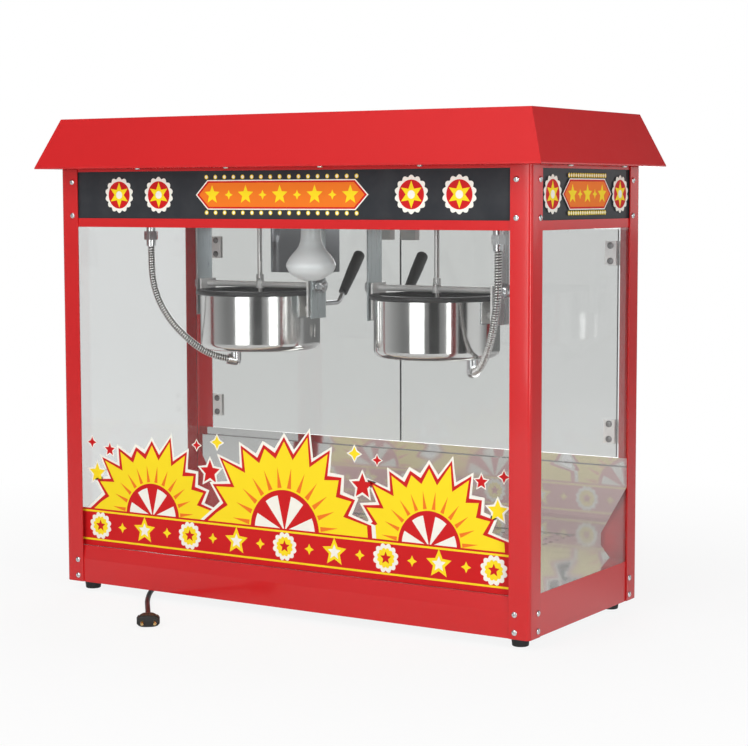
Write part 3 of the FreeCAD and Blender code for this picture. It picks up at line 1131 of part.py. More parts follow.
def ring(place_at, radius, steady):
    """A circle square to a heading, with its seam kept on a steady side."""
    centre, heading = place_at
    side = steady - heading * steady.dot(heading)
    turn = FreeCAD.Rotation(side.normalize(), heading.cross(side), heading, "ZXY")
    circle = Part.Wire([Part.Circle(Vector(), Vector(0, 0, 1), radius).toShape()])
    circle.Placement = FreeCAD.Placement(centre, turn)
    return circle


def conduits():
    """Armoured conduits from the ceiling to the kettles, ribbed outside and hollow."""
    fittings = []
    for name, s in LEFT_RIGHT:
        path = rounded_path(conduit_route(s))
        ribs = round((path.Length - 4 * size("conduit_radius")) / size("conduit_rib"))
        straight = 2 * size("conduit_radius") / path.Length
        marks = stations(path, ribs * 4)
        outer = size("conduit_radius")
        inner = outer - size("conduit_groove")
        steady = Vector(0, 1, 0.4)
        wave = (outer, outer, inner, inner)
        plain = straight * len(marks)
        sections = [ring(mark, outer if i < plain or i > len(marks) - plain else wave[i % 4], steady)
                    for i, mark in enumerate(marks)]
        skin = Part.makeLoft(sections, True, True)
        bore = sweep_round(path, size("conduit_bore"))
        print(name, "conduit ribs", ribs, "volume", round(skin.Volume), "length", round(path.Length))
        node(f"{name}_conduit", solid(f"Conduit{name}", skin.cut(bore)))
        at = (f"{s}*fitting_x", "fitting_y")
        tube = rod(f"FittingTube{name}", "conduit_radius + fitting_wall", "ceiling_level - fitting_low", *at,
                   "fitting_low")
        nut = hexagon(f"FittingNut{name}", "fitting_nut", "fitting_nut_height")
        place(nut, *at, "fitting_low + fitting_nut_up")
        seat = hexagon(f"FittingSeat{name}", "fitting_seat", "fitting_seat_height")
        place(seat, *at, "ceiling_level - fitting_seat_height")
        fittings.append(fuse(f"Fitting{name}", [tube, nut, seat]))
    node("conduit_fittings", group("ConduitFittings", fittings))


def coil_point(turn):
    """A point of the put-away coil, spiralling in on the upper layer and out on the floor."""
    middle = size("coil_turns") / 2
    blend = 0.25
    away = abs(turn - middle)
    soft = away if away > blend else away ** 2 / (2 * blend) + blend / 2
    radius = size("coil_inner") + size("coil_pitch") * soft
    climb = min(max((turn - middle + blend) / (2 * blend), 0), 1)
    drop = climb * climb * (3 - 2 * climb)
    level = size("cord_radius") + size("coil_pitch") * (1 - drop)
    angle = 2 * math.pi * turn
    return Vector(size("coil_x") + radius * math.cos(angle), size("coil_y") + radius * math.sin(angle), level)


def coil_heading(turn):
    """Direction of the coil at a turn."""
    step = 1e-4
    return (coil_point(turn + step) - coil_point(turn - step)).normalize()


def biarc(start, heading, end, end_heading):
    """Two tangent arcs between two points with given headings."""
    chord = end - start
    both_ways = heading + end_heading
    a = 2 * (1 - heading.dot(end_heading))
    b = 2 * chord.dot(both_ways)
    c = -chord.dot(chord)
    reach = (-b + math.sqrt(b * b - 4 * a * c)) / (2 * a)
    joint = (start + heading * reach + end - end_heading * reach) * 0.5
    edges = []
    for first, along, last in ((start, heading, joint), (joint, None, end)):
        if along is None:
            along = edges[0].tangentAt(edges[0].LastParameter)
        tip = last - first
        normal = along.cross(tip).cross(along).normalize()
        radius = tip.dot(tip) / (2 * tip.dot(normal))
        centre = first + normal * radius
        bow = ((first + last) * 0.5 - centre).normalize() * radius
        edges.append(Part.Arc(first, centre + bow, last).toShape())
    return edges


def coil_gap(tube_radius):
    """Least gap between turns of the coil, measured on points."""
    per_turn = 72
    spots = [coil_point(i / per_turn) for i in range(round(size("coil_turns") * per_turn) + 1)]
    apart = per_turn // 2
    pairs = ((p - q).Length for i, p in enumerate(spots) for q in spots[i + apart:])
    return min(pairs) - 2 * tube_radius


# Places of the lead behind, under and in front of the base
LEAD_POINTS = ((-367, 164), (-349, 84), (-337, 4), (-319, -72), (-289, -138), (-247, -199))
LEAD_RISE = ((-209, -245, 1.5),)
LEAD_END = ((-181, -279), (-159, -306))


def mains_lead():
    """Lead from the gland in the rear panel, through a put-away coil and under the base to its plug."""
    radius = size("cord_radius")
    turns = size("coil_turns")
    wall = size(POST_IN_Y)
    entry = coil_point(0)
    bore = "cord_radius + fit_gap"
    flange = "gland_neck + gland_flange"
    gland = lathe("Gland", ((bore, "-gland_inside"), ("gland_neck", "-gland_inside"), ("gland_neck", "0"),
                            (flange, "0"), (flange, "gland_flange_gauge"),
                            ("gland_neck", "gland_flange_gauge*1.4"),
                            ("cord_radius + gland_wall", "gland_reach"), (bore, "gland_reach")))
    place(gland, GLAND_X, POST_IN_Y, "gland_level", BACKWARD)
    node("cord_gland", gland)
    mouth = Vector(entry.x, wall, size("gland_level"))
    reach = Vector(entry.x, wall + size("gland_reach"), size("gland_level"))
    tail = [mouth, reach + Vector(0, size("tail_bend"), 0), entry - coil_heading(0) * size("tail_run"), entry]
    node("cord_tail", solid("CordTail", sweep_round(rounded_path(tail), radius)))
    quarter = [i / 4 for i in range(round(turns * 4) + 1)]
    arcs = []
    for a, b in zip(quarter, quarter[1:]):
        arcs += biarc(coil_point(a), coil_heading(a), coil_point(b), coil_heading(b))
    path = Part.Wire(arcs)
    print("coil gap", round(coil_gap(radius), 2), "length", round(path.Length))
    node("cord_coil", solid("CordCoil", sweep_round(path, radius)))
    leaving = coil_point(turns)
    lead = [leaving, leaving + coil_heading(turns) * size("lead_run")]
    lead += [Vector(x, y, radius) for x, y in LEAD_POINTS]
    lead += [Vector(x, y, radius + lift) for x, y, lift in LEAD_RISE]
    lead += [Vector(x, y, size("plug_half")) for x, y in LEAD_END]
    node("cord_lead", solid("CordLead", sweep_round(rounded_path(lead), radius)))
    plug(lead[-1], (lead[-1] - lead[-2]).normalize())


def plug(start, heading):
    """Moulded plug with flat faces and two round pins, lying on the floor."""
    moulding = lathe("PlugBody", (("0", "0"), ("cord_radius + plug_collar", "0"),
                                  ("plug_radius*0.7", "plug_length*0.4"), ("plug_radius", "plug_length*0.7"),
                                  ("plug_radius", "plug_length"), ("0", "plug_length")))
    slab = block("PlugSlab", both("plug_radius"), both("plug_half"), ("0", "plug_length"))
    flat = doc.addObject("Part::Common", "PlugFlat")
    flat.Base = moulding
    flat.Tool = slab
    pins = [rod(f"PlugPin{s}", "plug_pin", "plug_pin_length", f"{s}*plug_pin_pitch/2", "0", "plug_length")
            for name, s in LEFT_RIGHT]
    whole = fuse("Plug", [flat] + pins)
    across = heading.cross(Vector(0, 0, 1))
    whole.Placement = FreeCAD.Placement(start, FreeCAD.Rotation(across, Vector(0, 0, 1), heading, "ZXY"))
    node("plug", whole)


corner_posts()
rubber_feet()
base_panels()
deck()
kernel_drawer()
fixed_panes()
sign_band()
switches()
ceiling()
roof()
cabinet_screws()
rear_doors()
lamp()
wiring_box()
stir_motors()
kettle_hangers()
for name, s in LEFT_RIGHT:
    kettle(name, s)
    stirrer(name, s)
    drive_shaft(name, s)
conduits()
mains_lead()

doc.recompute()
failed = [obj.Name for obj in doc.Objects if "Invalid" in obj.State or "Error" in obj.State]
failed += [obj.Label for obj in NODES if obj.Shape.isNull() or not obj.Shape.isValid()]
if failed:
    raise ValueError(f"pieces that failed: {failed}")
os.makedirs("parts", exist_ok=True)
for obj in NODES:
    obj.Shape.exportStep(f"parts/{obj.Label}.step")
print(len(NODES), "pieces written")
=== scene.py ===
import math

import bmesh
import bpy
from bpy.props import (
    FloatProperty,
    FloatVectorProperty,
    IntProperty,
    PointerProperty,
)
from mathutils import Matrix, Vector


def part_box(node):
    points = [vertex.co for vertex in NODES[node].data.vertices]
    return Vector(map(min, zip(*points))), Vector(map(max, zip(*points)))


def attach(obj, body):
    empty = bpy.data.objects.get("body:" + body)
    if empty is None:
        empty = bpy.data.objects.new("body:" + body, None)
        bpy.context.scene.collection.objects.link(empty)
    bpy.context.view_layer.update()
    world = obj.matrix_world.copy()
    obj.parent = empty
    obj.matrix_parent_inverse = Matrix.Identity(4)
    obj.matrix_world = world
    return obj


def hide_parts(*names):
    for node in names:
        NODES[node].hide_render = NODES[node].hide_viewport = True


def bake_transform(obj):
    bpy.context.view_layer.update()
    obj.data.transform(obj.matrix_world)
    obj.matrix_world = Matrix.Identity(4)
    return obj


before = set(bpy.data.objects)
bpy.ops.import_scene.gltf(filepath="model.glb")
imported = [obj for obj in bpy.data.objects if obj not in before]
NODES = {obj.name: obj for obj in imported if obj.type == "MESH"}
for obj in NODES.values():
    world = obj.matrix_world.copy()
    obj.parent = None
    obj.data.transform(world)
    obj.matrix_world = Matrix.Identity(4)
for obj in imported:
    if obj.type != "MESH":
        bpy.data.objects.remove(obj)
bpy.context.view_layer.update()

bl_info = {
    "name": "Popcorn Machine",
    "version": (1, 0, 0),
    "blender": (4, 5, 0),
    "location": "View3D > Sidebar > Popcorn",
    "description": "Finishes, prints, leads and studio of a double-kettle popcorn machine",
    "category": "Object",
}

SIDES = (("left", -1), ("right", 1))
PRINT_LAYERS = 14
MATERIALS = {}
GROUPS = {}

# Mains lead: the part's own route, in metres
GLAND_MOUTH = (-0.2901, 0.178, 0.030)
TAIL_POINTS = (GLAND_MOUTH, (-0.2901, 0.226, 0.030), (-0.28935, 0.2612, 0.0128))
COIL_CENTRE = (-0.344, 0.290)
COIL_INNER = 0.0385
COIL_PITCH = 0.0088
COIL_TURNS = 3.5
COIL_BLEND = 0.25
COIL_STEPS = 16
LEAD_POINTS = (
    (-0.39936, 0.234, 0.004),
    (-0.367, 0.164, 0.004),
    (-0.349, 0.084, 0.004),
    (-0.337, 0.004, 0.004),
    (-0.319, -0.072, 0.004),
    (-0.289, -0.138, 0.004),
    (-0.247, -0.199, 0.004),
    (-0.209, -0.245, 0.0055),
    (-0.181, -0.279, 0.009),
    (-0.159, -0.306, 0.009),
)

# Armoured conduits: elbow outlet, plan heading, steps along and up, ceiling fitting
CONDUIT_START = (0.23589, 0.00811, 0.37697)
CONDUIT_HEADING = (0.70711, -0.70711)
CONDUIT_STEPS = (
    (0.018, 0.0038),
    (0.042, 0.015),
    (0.069, 0.036),
    (0.094, 0.063),
    (0.112, 0.094),
    (0.122, 0.126),
)
CONDUIT_TOP = (0.324, -0.080, 0.565)
CONDUIT_RUN = 0.030

TILT_AXIS = (0.008, 0.502)
POST_LEG = 0.034
POST_GAUGE = 0.002
POST_ROUND = 0.0064


class FinishSettings(bpy.types.PropertyGroup):
    """Colours of the paints, metals, plastics and prints."""

    red: FloatVectorProperty(
        name="Cabinet red", description="Powder coat of the cabinet", subtype="COLOR",
        size=3, min=0, max=1, default=(0.60, 0.014, 0.016))
    steel: FloatVectorProperty(
        name="Stainless", description="Brushed deck, ceiling and hangers", subtype="COLOR",
        size=3, min=0, max=1, default=(0.62, 0.62, 0.61))
    polished: FloatVectorProperty(
        name="Polished steel", description="Kettle shells and wiring box", subtype="COLOR",
        size=3, min=0, max=1, default=(0.80, 0.80, 0.79))
    plating: FloatVectorProperty(
        name="Bright plating", description="Screws, hinges and handle rods", subtype="COLOR",
        size=3, min=0, max=1, default=(0.70, 0.71, 0.72))
    zinc: FloatVectorProperty(
        name="Galvanised", description="Floor, runners and motors", subtype="COLOR",
        size=3, min=0, max=1, default=(0.55, 0.57, 0.58))
    brass: FloatVectorProperty(
        name="Brass", description="Plug pins", subtype="COLOR",
        size=3, min=0, max=1, default=(0.80, 0.58, 0.26))
    nonstick: FloatVectorProperty(
        name="Non-stick", description="Inside of the pans", subtype="COLOR",
        size=3, min=0, max=1, default=(0.018, 0.018, 0.019))
    black: FloatVectorProperty(
        name="Black", description="Grips, rubber and cord", subtype="COLOR",
        size=3, min=0, max=1, default=(0.012, 0.012, 0.013))
    acrylic: FloatVectorProperty(
        name="Sign panels", description="Smoky acrylic of the signs", subtype="COLOR",
        size=3, min=0, max=1, default=(0.036, 0.039, 0.044))
    glass: FloatVectorProperty(
        name="Front pane", description="Tint of the front pane", subtype="COLOR",
        size=3, min=0, max=1, default=(0.83, 0.84, 0.835))
    side_glass: FloatVectorProperty(
        name="Side panes", description="Tint of the side panes", subtype="COLOR",
        size=3, min=0, max=1, default=(0.87, 0.88, 0.88))
    door_glass: FloatVectorProperty(
        name="Door panes", description="Tint of the rear doors", subtype="COLOR",
        size=3, min=0, max=1, default=(0.69, 0.70, 0.69))
    lamp: FloatVectorProperty(
        name="Lamp", description="Frosted lamp glass", subtype="COLOR",
        size=3, min=0, max=1, default=(0.88, 0.93, 0.94))
    yellow: FloatVectorProperty(
        name="Print yellow", description="Yellow of the prints", subtype="COLOR",
        size=3, min=0, max=1, default=(0.95, 0.72, 0.02))
    orange: FloatVectorProperty(
        name="Print orange", description="Orange of the prints", subtype="COLOR",
        size=3, min=0, max=1, default=(0.87, 0.20, 0.02))
    cream: FloatVectorProperty(
        name="Print white", description="White of the prints", subtype="COLOR",
        size=3, min=0, max=1, default=(0.90, 0.88, 0.80))


class LeadSettings(bpy.types.PropertyGroup):
    """Sizes of the mains lead, its plug and the conduits."""

    diameter: FloatProperty(
        name="Lead", description="Diameter of the mains lead", subtype="DISTANCE",
        unit="LENGTH", default=0.008)
    length: FloatProperty(
        name="Length", description="Mains lead from the gland to the plug", subtype="DISTANCE",
        unit="LENGTH", default=1.78)
    conduit: FloatProperty(
        name="Conduit", description="Diameter over the conduit's ribs", subtype="DISTANCE",
        unit="LENGTH", default=0.012)
    conduit_length: FloatProperty(
        name="Conduit length", description="Elbow to ceiling fitting", subtype="DISTANCE",
        unit="LENGTH", default=0.247)
    rib: FloatProperty(
        name="Rib", description="Pitch of the conduit's winding", subtype="DISTANCE",
        unit="LENGTH", default=0.004)
    bore: FloatProperty(
        name="Bore", description="Inside diameter of the conduit", subtype="DISTANCE",
        unit="LENGTH", default=0.008)


class PrintSettings(bpy.types.PropertyGroup):
    """Sizes of the printed bands on the front pane and the signs."""

    band_low: FloatProperty(
        name="Band foot", description="Lower edge of the pane's band", subtype="DISTANCE",
        unit="LENGTH", default=0.0757)
    band_high: FloatProperty(
        name="Band head", description="Upper edge of the pane's band", subtype="DISTANCE",
        unit="LENGTH", default=0.137)
    half_width: FloatProperty(
        name="Half width", description="Print to each side of the middle", subtype="DISTANCE",
        unit="LENGTH", default=0.412)
    film: FloatProperty(
        name="Film", description="Thickness of one print layer", subtype="DISTANCE",
        unit="LENGTH", default=0.00004)
    rosettes: IntProperty(
        name="Rosettes", description="Motifs along the pane's band", min=3, default=9)


class StageSettings(bpy.types.PropertyGroup):
    """Camera and studio."""

    lens: FloatProperty(
        name="Lens", description="Focal length for a 36 mm sensor", subtype="DISTANCE_CAMERA",
        default=93.90)
    place: FloatVectorProperty(
        name="Camera", description="Camera position", subtype="TRANSLATION", unit="LENGTH",
        size=3, default=(1.69735, -2.60195, 0.64786))
    yaw: FloatProperty(
        name="Yaw", description="Camera heading from the +Y axis", subtype="ANGLE",
        default=-0.56259)
    pitch: FloatProperty(
        name="Pitch", description="Camera below the horizon", subtype="ANGLE", default=0.09117)
    roll: FloatProperty(
        name="Roll", description="Camera roll", subtype="ANGLE", default=-0.00209)
    floor: FloatVectorProperty(
        name="Floor", description="Colour of the floor", subtype="COLOR", size=3, min=0, max=1,
        default=(0.88, 0.88, 0.88))
    backdrop: FloatProperty(
        name="Backdrop light", description="Light that comes back from the white backdrop", default=0.95)
    room: FloatProperty(
        name="Room light", description="Light from the dim room in front", default=0.46)
    ceiling: FloatProperty(
        name="Ceiling light", description="Light from the dark studio ceiling", default=0.16)


# Shader helpers


def add(tree, kind, inputs=None, **settings):
    """A node with its settings; inputs are values, or sockets to link."""
    made = tree.nodes.new(kind)
    for key, value in settings.items():
        setattr(made, key, value)
    for key, value in (inputs or {}).items():
        if isinstance(value, bpy.types.NodeSocket):
            tree.links.new(value, made.inputs[key])
        else:
            made.inputs[key].default_value = value
    return made


def colour(value):
    """An RGBA tuple from a colour property."""
    return (*value[:3], 1.0)


def blend_colour(tree, factor, first, second, mode="MIX"):
    """Colour between two colours."""
    made = add(tree, "ShaderNodeMix", {0: factor, 6: first, 7: second}, data_type="RGBA", blend_type=mode)
    return made.outputs[2]


def sum_up(tree, kind, first, second=0.0, clamp=False):
    """One step of arithmetic."""
    made = add(tree, "ShaderNodeMath", {0: first, 1: second}, operation=kind, use_clamp=clamp)
    return made.outputs[0]


def spread(tree, value, low, high, to_low, to_high):
    """A value mapped from one range to another, held at its ends."""
    made = add(tree, "ShaderNodeMapRange", {0: value, 1: low, 2: high, 3: to_low, 4: to_high})
    return made.outputs[0]


def noise(tree, scale, stretch=(1, 1, 1), detail=2.0, rough=0.5):
    """Noise in the piece's own coordinates."""
    where = add(tree, "ShaderNodeTexCoord").outputs["Object"]
    fitted = add(tree, "ShaderNodeVectorMath", {0: where, 1: stretch}, operation="MULTIPLY")
    made = add(tree, "ShaderNodeTexNoise",
               {"Vector": fitted.outputs[0], "Scale": scale, "Detail": detail, "Roughness": rough})
    return made.outputs[0]


def start_group(name, inputs, outputs):
    """An empty shader group with named sockets, and its ends."""
    tree = bpy.data.node_groups.new(name, "ShaderNodeTree")
    for label, kind, default in inputs:
        socket = tree.interface.new_socket(name=label, in_out="INPUT", socket_type=f"NodeSocket{kind}")
        socket.default_value = default
    for label, kind in outputs:
        tree.interface.new_socket(name=label, in_out="OUTPUT", socket_type=f"NodeSocket{kind}")
    GROUPS[name] = tree
    return tree, tree.nodes.new("NodeGroupInput").outputs, tree.nodes.new("NodeGroupOutput").inputs


def place_group(tree, name, **inputs):
    """A shader group in a material, with its own values."""
    made = tree.nodes.new("ShaderNodeGroup")
    made.node_tree = GROUPS[name]
    for key, value in inputs.items():
        label = key.replace("_", " ").capitalize()
        if isinstance(value, bpy.types.NodeSocket):
            tree.links.new(value, made.inputs[label])
        else:
            made.inputs[label].default_value = value
    return made.outputs


def build_groups():
    """The effects that several finishes share."""
    tree, given, out = start_group(
        "Paint skin",
        [("Colour", "Color", (0.5, 0.5, 0.5, 1)), ("Peel", "Float", 420.0), ("Gloss", "Float", 0.36)],
        [("Colour", "Color"), ("Roughness", "Float"), ("Height", "Float")])
    cloud = noise(tree, 5.0, detail=3.0)
    deep = blend_colour(tree, 1.0, given["Colour"], (0.86, 0.86, 0.86, 1), "MULTIPLY")
    tree.links.new(blend_colour(tree, spread(tree, cloud, 0.35, 0.65, 0.0, 0.2), given["Colour"], deep),
                   out["Colour"])
    peel = noise(tree, 1.0, detail=1.0)
    tree.links.new(given["Peel"], peel.node.inputs["Scale"])
    tree.links.new(peel, out["Height"])
    grit = noise(tree, 60.0, detail=4.0)
    shift = spread(tree, grit, 0.3, 0.7, -0.012, 0.018)
    tree.links.new(sum_up(tree, "ADD", given["Gloss"], shift), out["Roughness"])

    tree, given, out = start_group(
        "Brushed grain",
        [("Colour", "Color", (0.6, 0.6, 0.6, 1)), ("Grain", "Vector", (4, 400, 400)),
         ("Gloss", "Float", 0.3), ("Contrast", "Float", 0.1)],
        [("Colour", "Color"), ("Roughness", "Float"), ("Height", "Float")])
    where = add(tree, "ShaderNodeTexCoord").outputs["Object"]
    drawn = add(tree, "ShaderNodeVectorMath", {0: where, 1: given["Grain"]}, operation="MULTIPLY")
    line = add(tree, "ShaderNodeTexNoise", {"Vector": drawn.outputs[0], "Scale": 1.0, "Detail": 5.0,
                                            "Roughness": 0.65}).outputs[0]
    cloud = noise(tree, 7.0, detail=3.0)
    centred = sum_up(tree, "SUBTRACT", line, 0.5)
    worn = sum_up(tree, "MULTIPLY", centred, given["Contrast"])
    shade = sum_up(tree, "MULTIPLY_ADD", centred, given["Contrast"])
    shade.node.inputs[2].default_value = 1.0
    grey = add(tree, "ShaderNodeCombineColor", {0: shade, 1: shade, 2: shade}).outputs[0]
    tree.links.new(blend_colour(tree, 1.0, given["Colour"], grey, "MULTIPLY"), out["Colour"])
    rough = sum_up(tree, "ADD", given["Gloss"], worn)
    rough = sum_up(tree, "ADD", rough, spread(tree, cloud, 0.3, 0.7, -0.03, 0.05), clamp=True)
    tree.links.new(rough, out["Roughness"])
    tree.links.new(line, out["Height"])

    tree, given, out = start_group(
        "Moulded grain",
        [("Colour", "Color", (0.02, 0.02, 0.02, 1)), ("Scale", "Float", 900.0), ("Gloss", "Float", 0.5)],
        [("Colour", "Color"), ("Roughness", "Float"), ("Height", "Float")])
    fine = noise(tree, 1.0, detail=2.0)
    tree.links.new(given["Scale"], fine.node.inputs["Scale"])
    cloud = noise(tree, 24.0, detail=3.0)
    pale = blend_colour(tree, 1.0, given["Colour"], (0.012, 0.012, 0.012, 1), "ADD")
    tree.links.new(blend_colour(tree, spread(tree, cloud, 0.4, 0.75, 0.0, 1.0), given["Colour"], pale),
                   out["Colour"])
    tree.links.new(sum_up(tree, "ADD", given["Gloss"], spread(tree, cloud, 0.3, 0.7, -0.06, 0.08)),
                   out["Roughness"])
    tree.links.new(fine, out["Height"])

    tree, given, out = start_group("Edge mask", [("Width", "Float", 0.0015)], [("Mask", "Float")])
    soft = add(tree, "ShaderNodeBevel", {"Radius": given["Width"]}, samples=4).outputs[0]
    flat = add(tree, "ShaderNodeNewGeometry").outputs["Normal"]
    likeness = add(tree, "ShaderNodeVectorMath", {0: soft, 1: flat}, operation="DOT_PRODUCT")
    bent = spread(tree, likeness.outputs["Value"], 0.80, 0.985, 1.0, 0.0)
    grit = spread(tree, noise(tree, 130.0, detail=4.0), 0.35, 0.6, 0.0, 1.0)
    tree.links.new(sum_up(tree, "MULTIPLY", bent, grit), out["Mask"])

    tree, given, out = start_group("Handling marks", [("Scale", "Float", 18.0)], [("Mask", "Float")])
    smear = noise(tree, 1.0, (1.0, 1.0, 0.45), detail=5.0, rough=0.6)
    tree.links.new(given["Scale"], smear.node.inputs["Scale"])
    tree.links.new(spread(tree, smear, 0.48, 0.72, 0.0, 1.0), out["Mask"])


def surface(name, **constants):
    """A material with one plain shader whose constants are set on its own sockets."""
    made = bpy.data.materials.new(name)
    made.use_nodes = True
    tree = made.node_tree
    shader = tree.nodes["Principled BSDF"]
    for key, value in constants.items():
        shader.inputs[key.replace("_", " ")].default_value = value
    MATERIALS[name] = made
    return tree, shader


def wear(tree, shader, skin, bump, depth, soften=0.0):
    """Link a skin group to a shader: roughness, and bump over softened edges."""
    tree.links.new(skin["Roughness"], shader.inputs["Roughness"])
    raised = add(tree, "ShaderNodeBump", {"Height": skin["Height"], "Strength": bump, "Distance": depth})
    if soften:
        rounded = add(tree, "ShaderNodeBevel", {"Radius": soften}, samples=4)
        tree.links.new(rounded.outputs[0], raised.inputs["Normal"])
    tree.links.new(raised.outputs[0], shader.inputs["Normal"])


def paint(name, value, gloss, coat, shine):
    """Powder coat with fine orange peel, a little lighter on its edges."""
    tree, shader = surface(name, Coat_Weight=coat, Coat_Roughness=0.07, Specular_IOR_Level=shine)
    skin = place_group(tree, "Paint skin", colour=colour(value), peel=130.0, gloss=gloss)
    mask = place_group(tree, "Edge mask", width=0.0016)["Mask"]
    pale = (min(value[0] * 1.25, 1), value[1] + 0.05, value[2] + 0.05, 1)
    worn = blend_colour(tree, sum_up(tree, "MULTIPLY", mask, 0.45), skin["Colour"], pale)
    tree.links.new(worn, shader.inputs["Base Color"])
    wear(tree, shader, skin, 0.02, 0.0001, 0.0009)


def metal(name, value, grain, gloss, contrast, bump=0.05, marks=0.0, bare=1.0):
    """Drawn, spun or polished metal, its grain along the axis with the smallest number."""
    tree, shader = surface(name, Metallic=bare)
    skin = place_group(tree, "Brushed grain", colour=colour(value), grain=grain, gloss=gloss, contrast=contrast)
    wear(tree, shader, skin, bump, 0.0001, 0.0005)
    tint = skin["Colour"]
    if marks:
        mask = place_group(tree, "Handling marks", scale=16.0)["Mask"]
        dull = blend_colour(tree, 1.0, tint, (0.88, 0.87, 0.85, 1), "MULTIPLY")
        tint = blend_colour(tree, sum_up(tree, "MULTIPLY", mask, marks), tint, dull)
        hazy = sum_up(tree, "MULTIPLY_ADD", mask, marks * 0.12)
        tree.links.new(skin["Roughness"], hazy.node.inputs[2])
        tree.links.new(hazy, shader.inputs["Roughness"])
    tree.links.new(tint, shader.inputs["Base Color"])


def moulded(name, value, scale, gloss, bump=0.15, **constants):
    """Moulded plastic or rubber with a fine grain."""
    tree, shader = surface(name, **constants)
    skin = place_group(tree, "Moulded grain", colour=colour(value), scale=scale, gloss=gloss)
    tree.links.new(skin["Colour"], shader.inputs["Base Color"])
    wear(tree, shader, skin, bump, 0.0002, 0.0004)


def print_ink(name, value):
    """Printed vinyl film."""
    tree, shader = surface(name, Specular_IOR_Level=0.12)
    skin = place_group(tree, "Paint skin", colour=colour(value), peel=240.0, gloss=0.42)
    tree.links.new(skin["Colour"], shader.inputs["Base Color"])
    wear(tree, shader, skin, 0.02, 0.0001)


def print_reverse(name, value):
    """Reverse of the printed film, paler, with a painted glow in its own colour standing in for the light that comes
    through it.
    """
    pale = [0.52 + 0.42 * part for part in value[:3]]
    # Emission in the film's own colour: painted light, a glow standing in for light passing through the film.
    tree, shader = surface(name, Emission_Strength=0.35, Specular_IOR_Level=0.3)
    skin = place_group(tree, "Paint skin", colour=colour(pale), peel=240.0, gloss=0.5)
    tree.links.new(skin["Colour"], shader.inputs["Base Color"])
    tree.links.new(skin["Colour"], shader.inputs["Emission Color"])
    wear(tree, shader, skin, 0.02, 0.0001)


def clear_pane(name, value):
    """Clear pane that lets light through to what stands behind it."""
    tree, shader = surface(name, Transmission_Weight=1.0, IOR=1.45)
    marks = place_group(tree, "Handling marks", scale=7.0)["Mask"]
    pale = blend_colour(tree, sum_up(tree, "MULTIPLY", marks, 0.25), colour(value),
                        (value[0] * 0.96, value[1] * 0.96, value[2] * 0.96, 1))
    tree.links.new(pale, shader.inputs["Base Color"])
    tree.links.new(sum_up(tree, "MULTIPLY", marks, 0.012), shader.inputs["Roughness"])
    ray = add(tree, "ShaderNodeLightPath").outputs
    passing = add(tree, "ShaderNodeBsdfTransparent", {"Color": (0.97, 0.97, 0.97, 1)})
    unseen = sum_up(tree, "MAXIMUM", ray["Is Shadow Ray"], ray["Is Diffuse Ray"])
    mirrored = sum_up(tree, "SUBTRACT", ray["Is Glossy Ray"], ray["Is Transmission Ray"])
    within = sum_up(tree, "MODULO", ray["Transmission Depth"], 2.0)
    unseen = sum_up(tree, "MAXIMUM", unseen, sum_up(tree, "SUBTRACT", mirrored, within, clamp=True))
    choice = add(tree, "ShaderNodeMixShader", {0: unseen, 1: shader.outputs[0], 2: passing.outputs[0]})
    tree.links.new(choice.outputs[0], tree.nodes["Material Output"].inputs["Surface"])


def speckled_pan(name, value):
    """Non-stick coat with fine pale speckles."""
    tree, shader = surface(name, Specular_IOR_Level=0.45)
    skin = place_group(tree, "Moulded grain", colour=colour(value), scale=1400.0, gloss=0.38)
    speck = spread(tree, noise(tree, 1600.0, detail=0.0), 0.70, 0.76, 0.0, 0.35)
    tree.links.new(blend_colour(tree, speck, skin["Colour"], (0.22, 0.22, 0.22, 1)), shader.inputs["Base Color"])
    wear(tree, shader, skin, 0.10, 0.0002, 0.0006)


def spangled(name, value):
    """Galvanised sheet with its crystal spangle."""
    tree, shader = surface(name, Metallic=1.0)
    where = add(tree, "ShaderNodeTexCoord").outputs["Object"]
    cells = add(tree, "ShaderNodeTexVoronoi", {"Vector": where, "Scale": 90.0})
    shade = spread(tree, add(tree, "ShaderNodeSeparateColor", {0: cells.outputs["Color"]}).outputs[0], 0, 1, 0.82, 1.08)
    grey = add(tree, "ShaderNodeCombineColor", {0: shade, 1: shade, 2: shade}).outputs[0]
    skin = place_group(tree, "Moulded grain", colour=colour(value), scale=700.0, gloss=0.42)
    tree.links.new(blend_colour(tree, 1.0, colour(value), grey, "MULTIPLY"), shader.inputs["Base Color"])
    wear(tree, shader, skin, 0.06, 0.0002, 0.0006)


def frosted_lamp(name, value):
    """Frosted lamp glass, denser towards its silvered neck."""
    tree, shader = surface(name, IOR=1.45, Coat_Weight=0.3, Coat_Roughness=0.12)
    where = add(tree, "ShaderNodeTexCoord").outputs["Object"]
    height = add(tree, "ShaderNodeSeparateXYZ", {0: where}).outputs[2]
    silver = spread(tree, height, 0.545, 0.600, 0.0, 1.0)
    cloud = spread(tree, noise(tree, 40.0, detail=3.0), 0.3, 0.7, 0.0, 0.25)
    base = blend_colour(tree, silver, colour(value), (value[0] * 0.82, value[1] * 0.84, value[2] * 0.84, 1))
    base = blend_colour(tree, cloud, base, (0.93, 0.95, 0.96, 1))
    tree.links.new(base, shader.inputs["Base Color"])
    tree.links.new(spread(tree, silver, 0, 1, 0.34, 0.22), shader.inputs["Roughness"])


def rough_cast(name, value):
    """Rough cast metal."""
    tree, shader = surface(name, Metallic=0.8)
    skin = place_group(tree, "Moulded grain", colour=colour(value), scale=520.0, gloss=0.62)
    tree.links.new(skin["Colour"], shader.inputs["Base Color"])
    wear(tree, shader, skin, 0.5, 0.0004, 0.0006)


# Mesh helpers


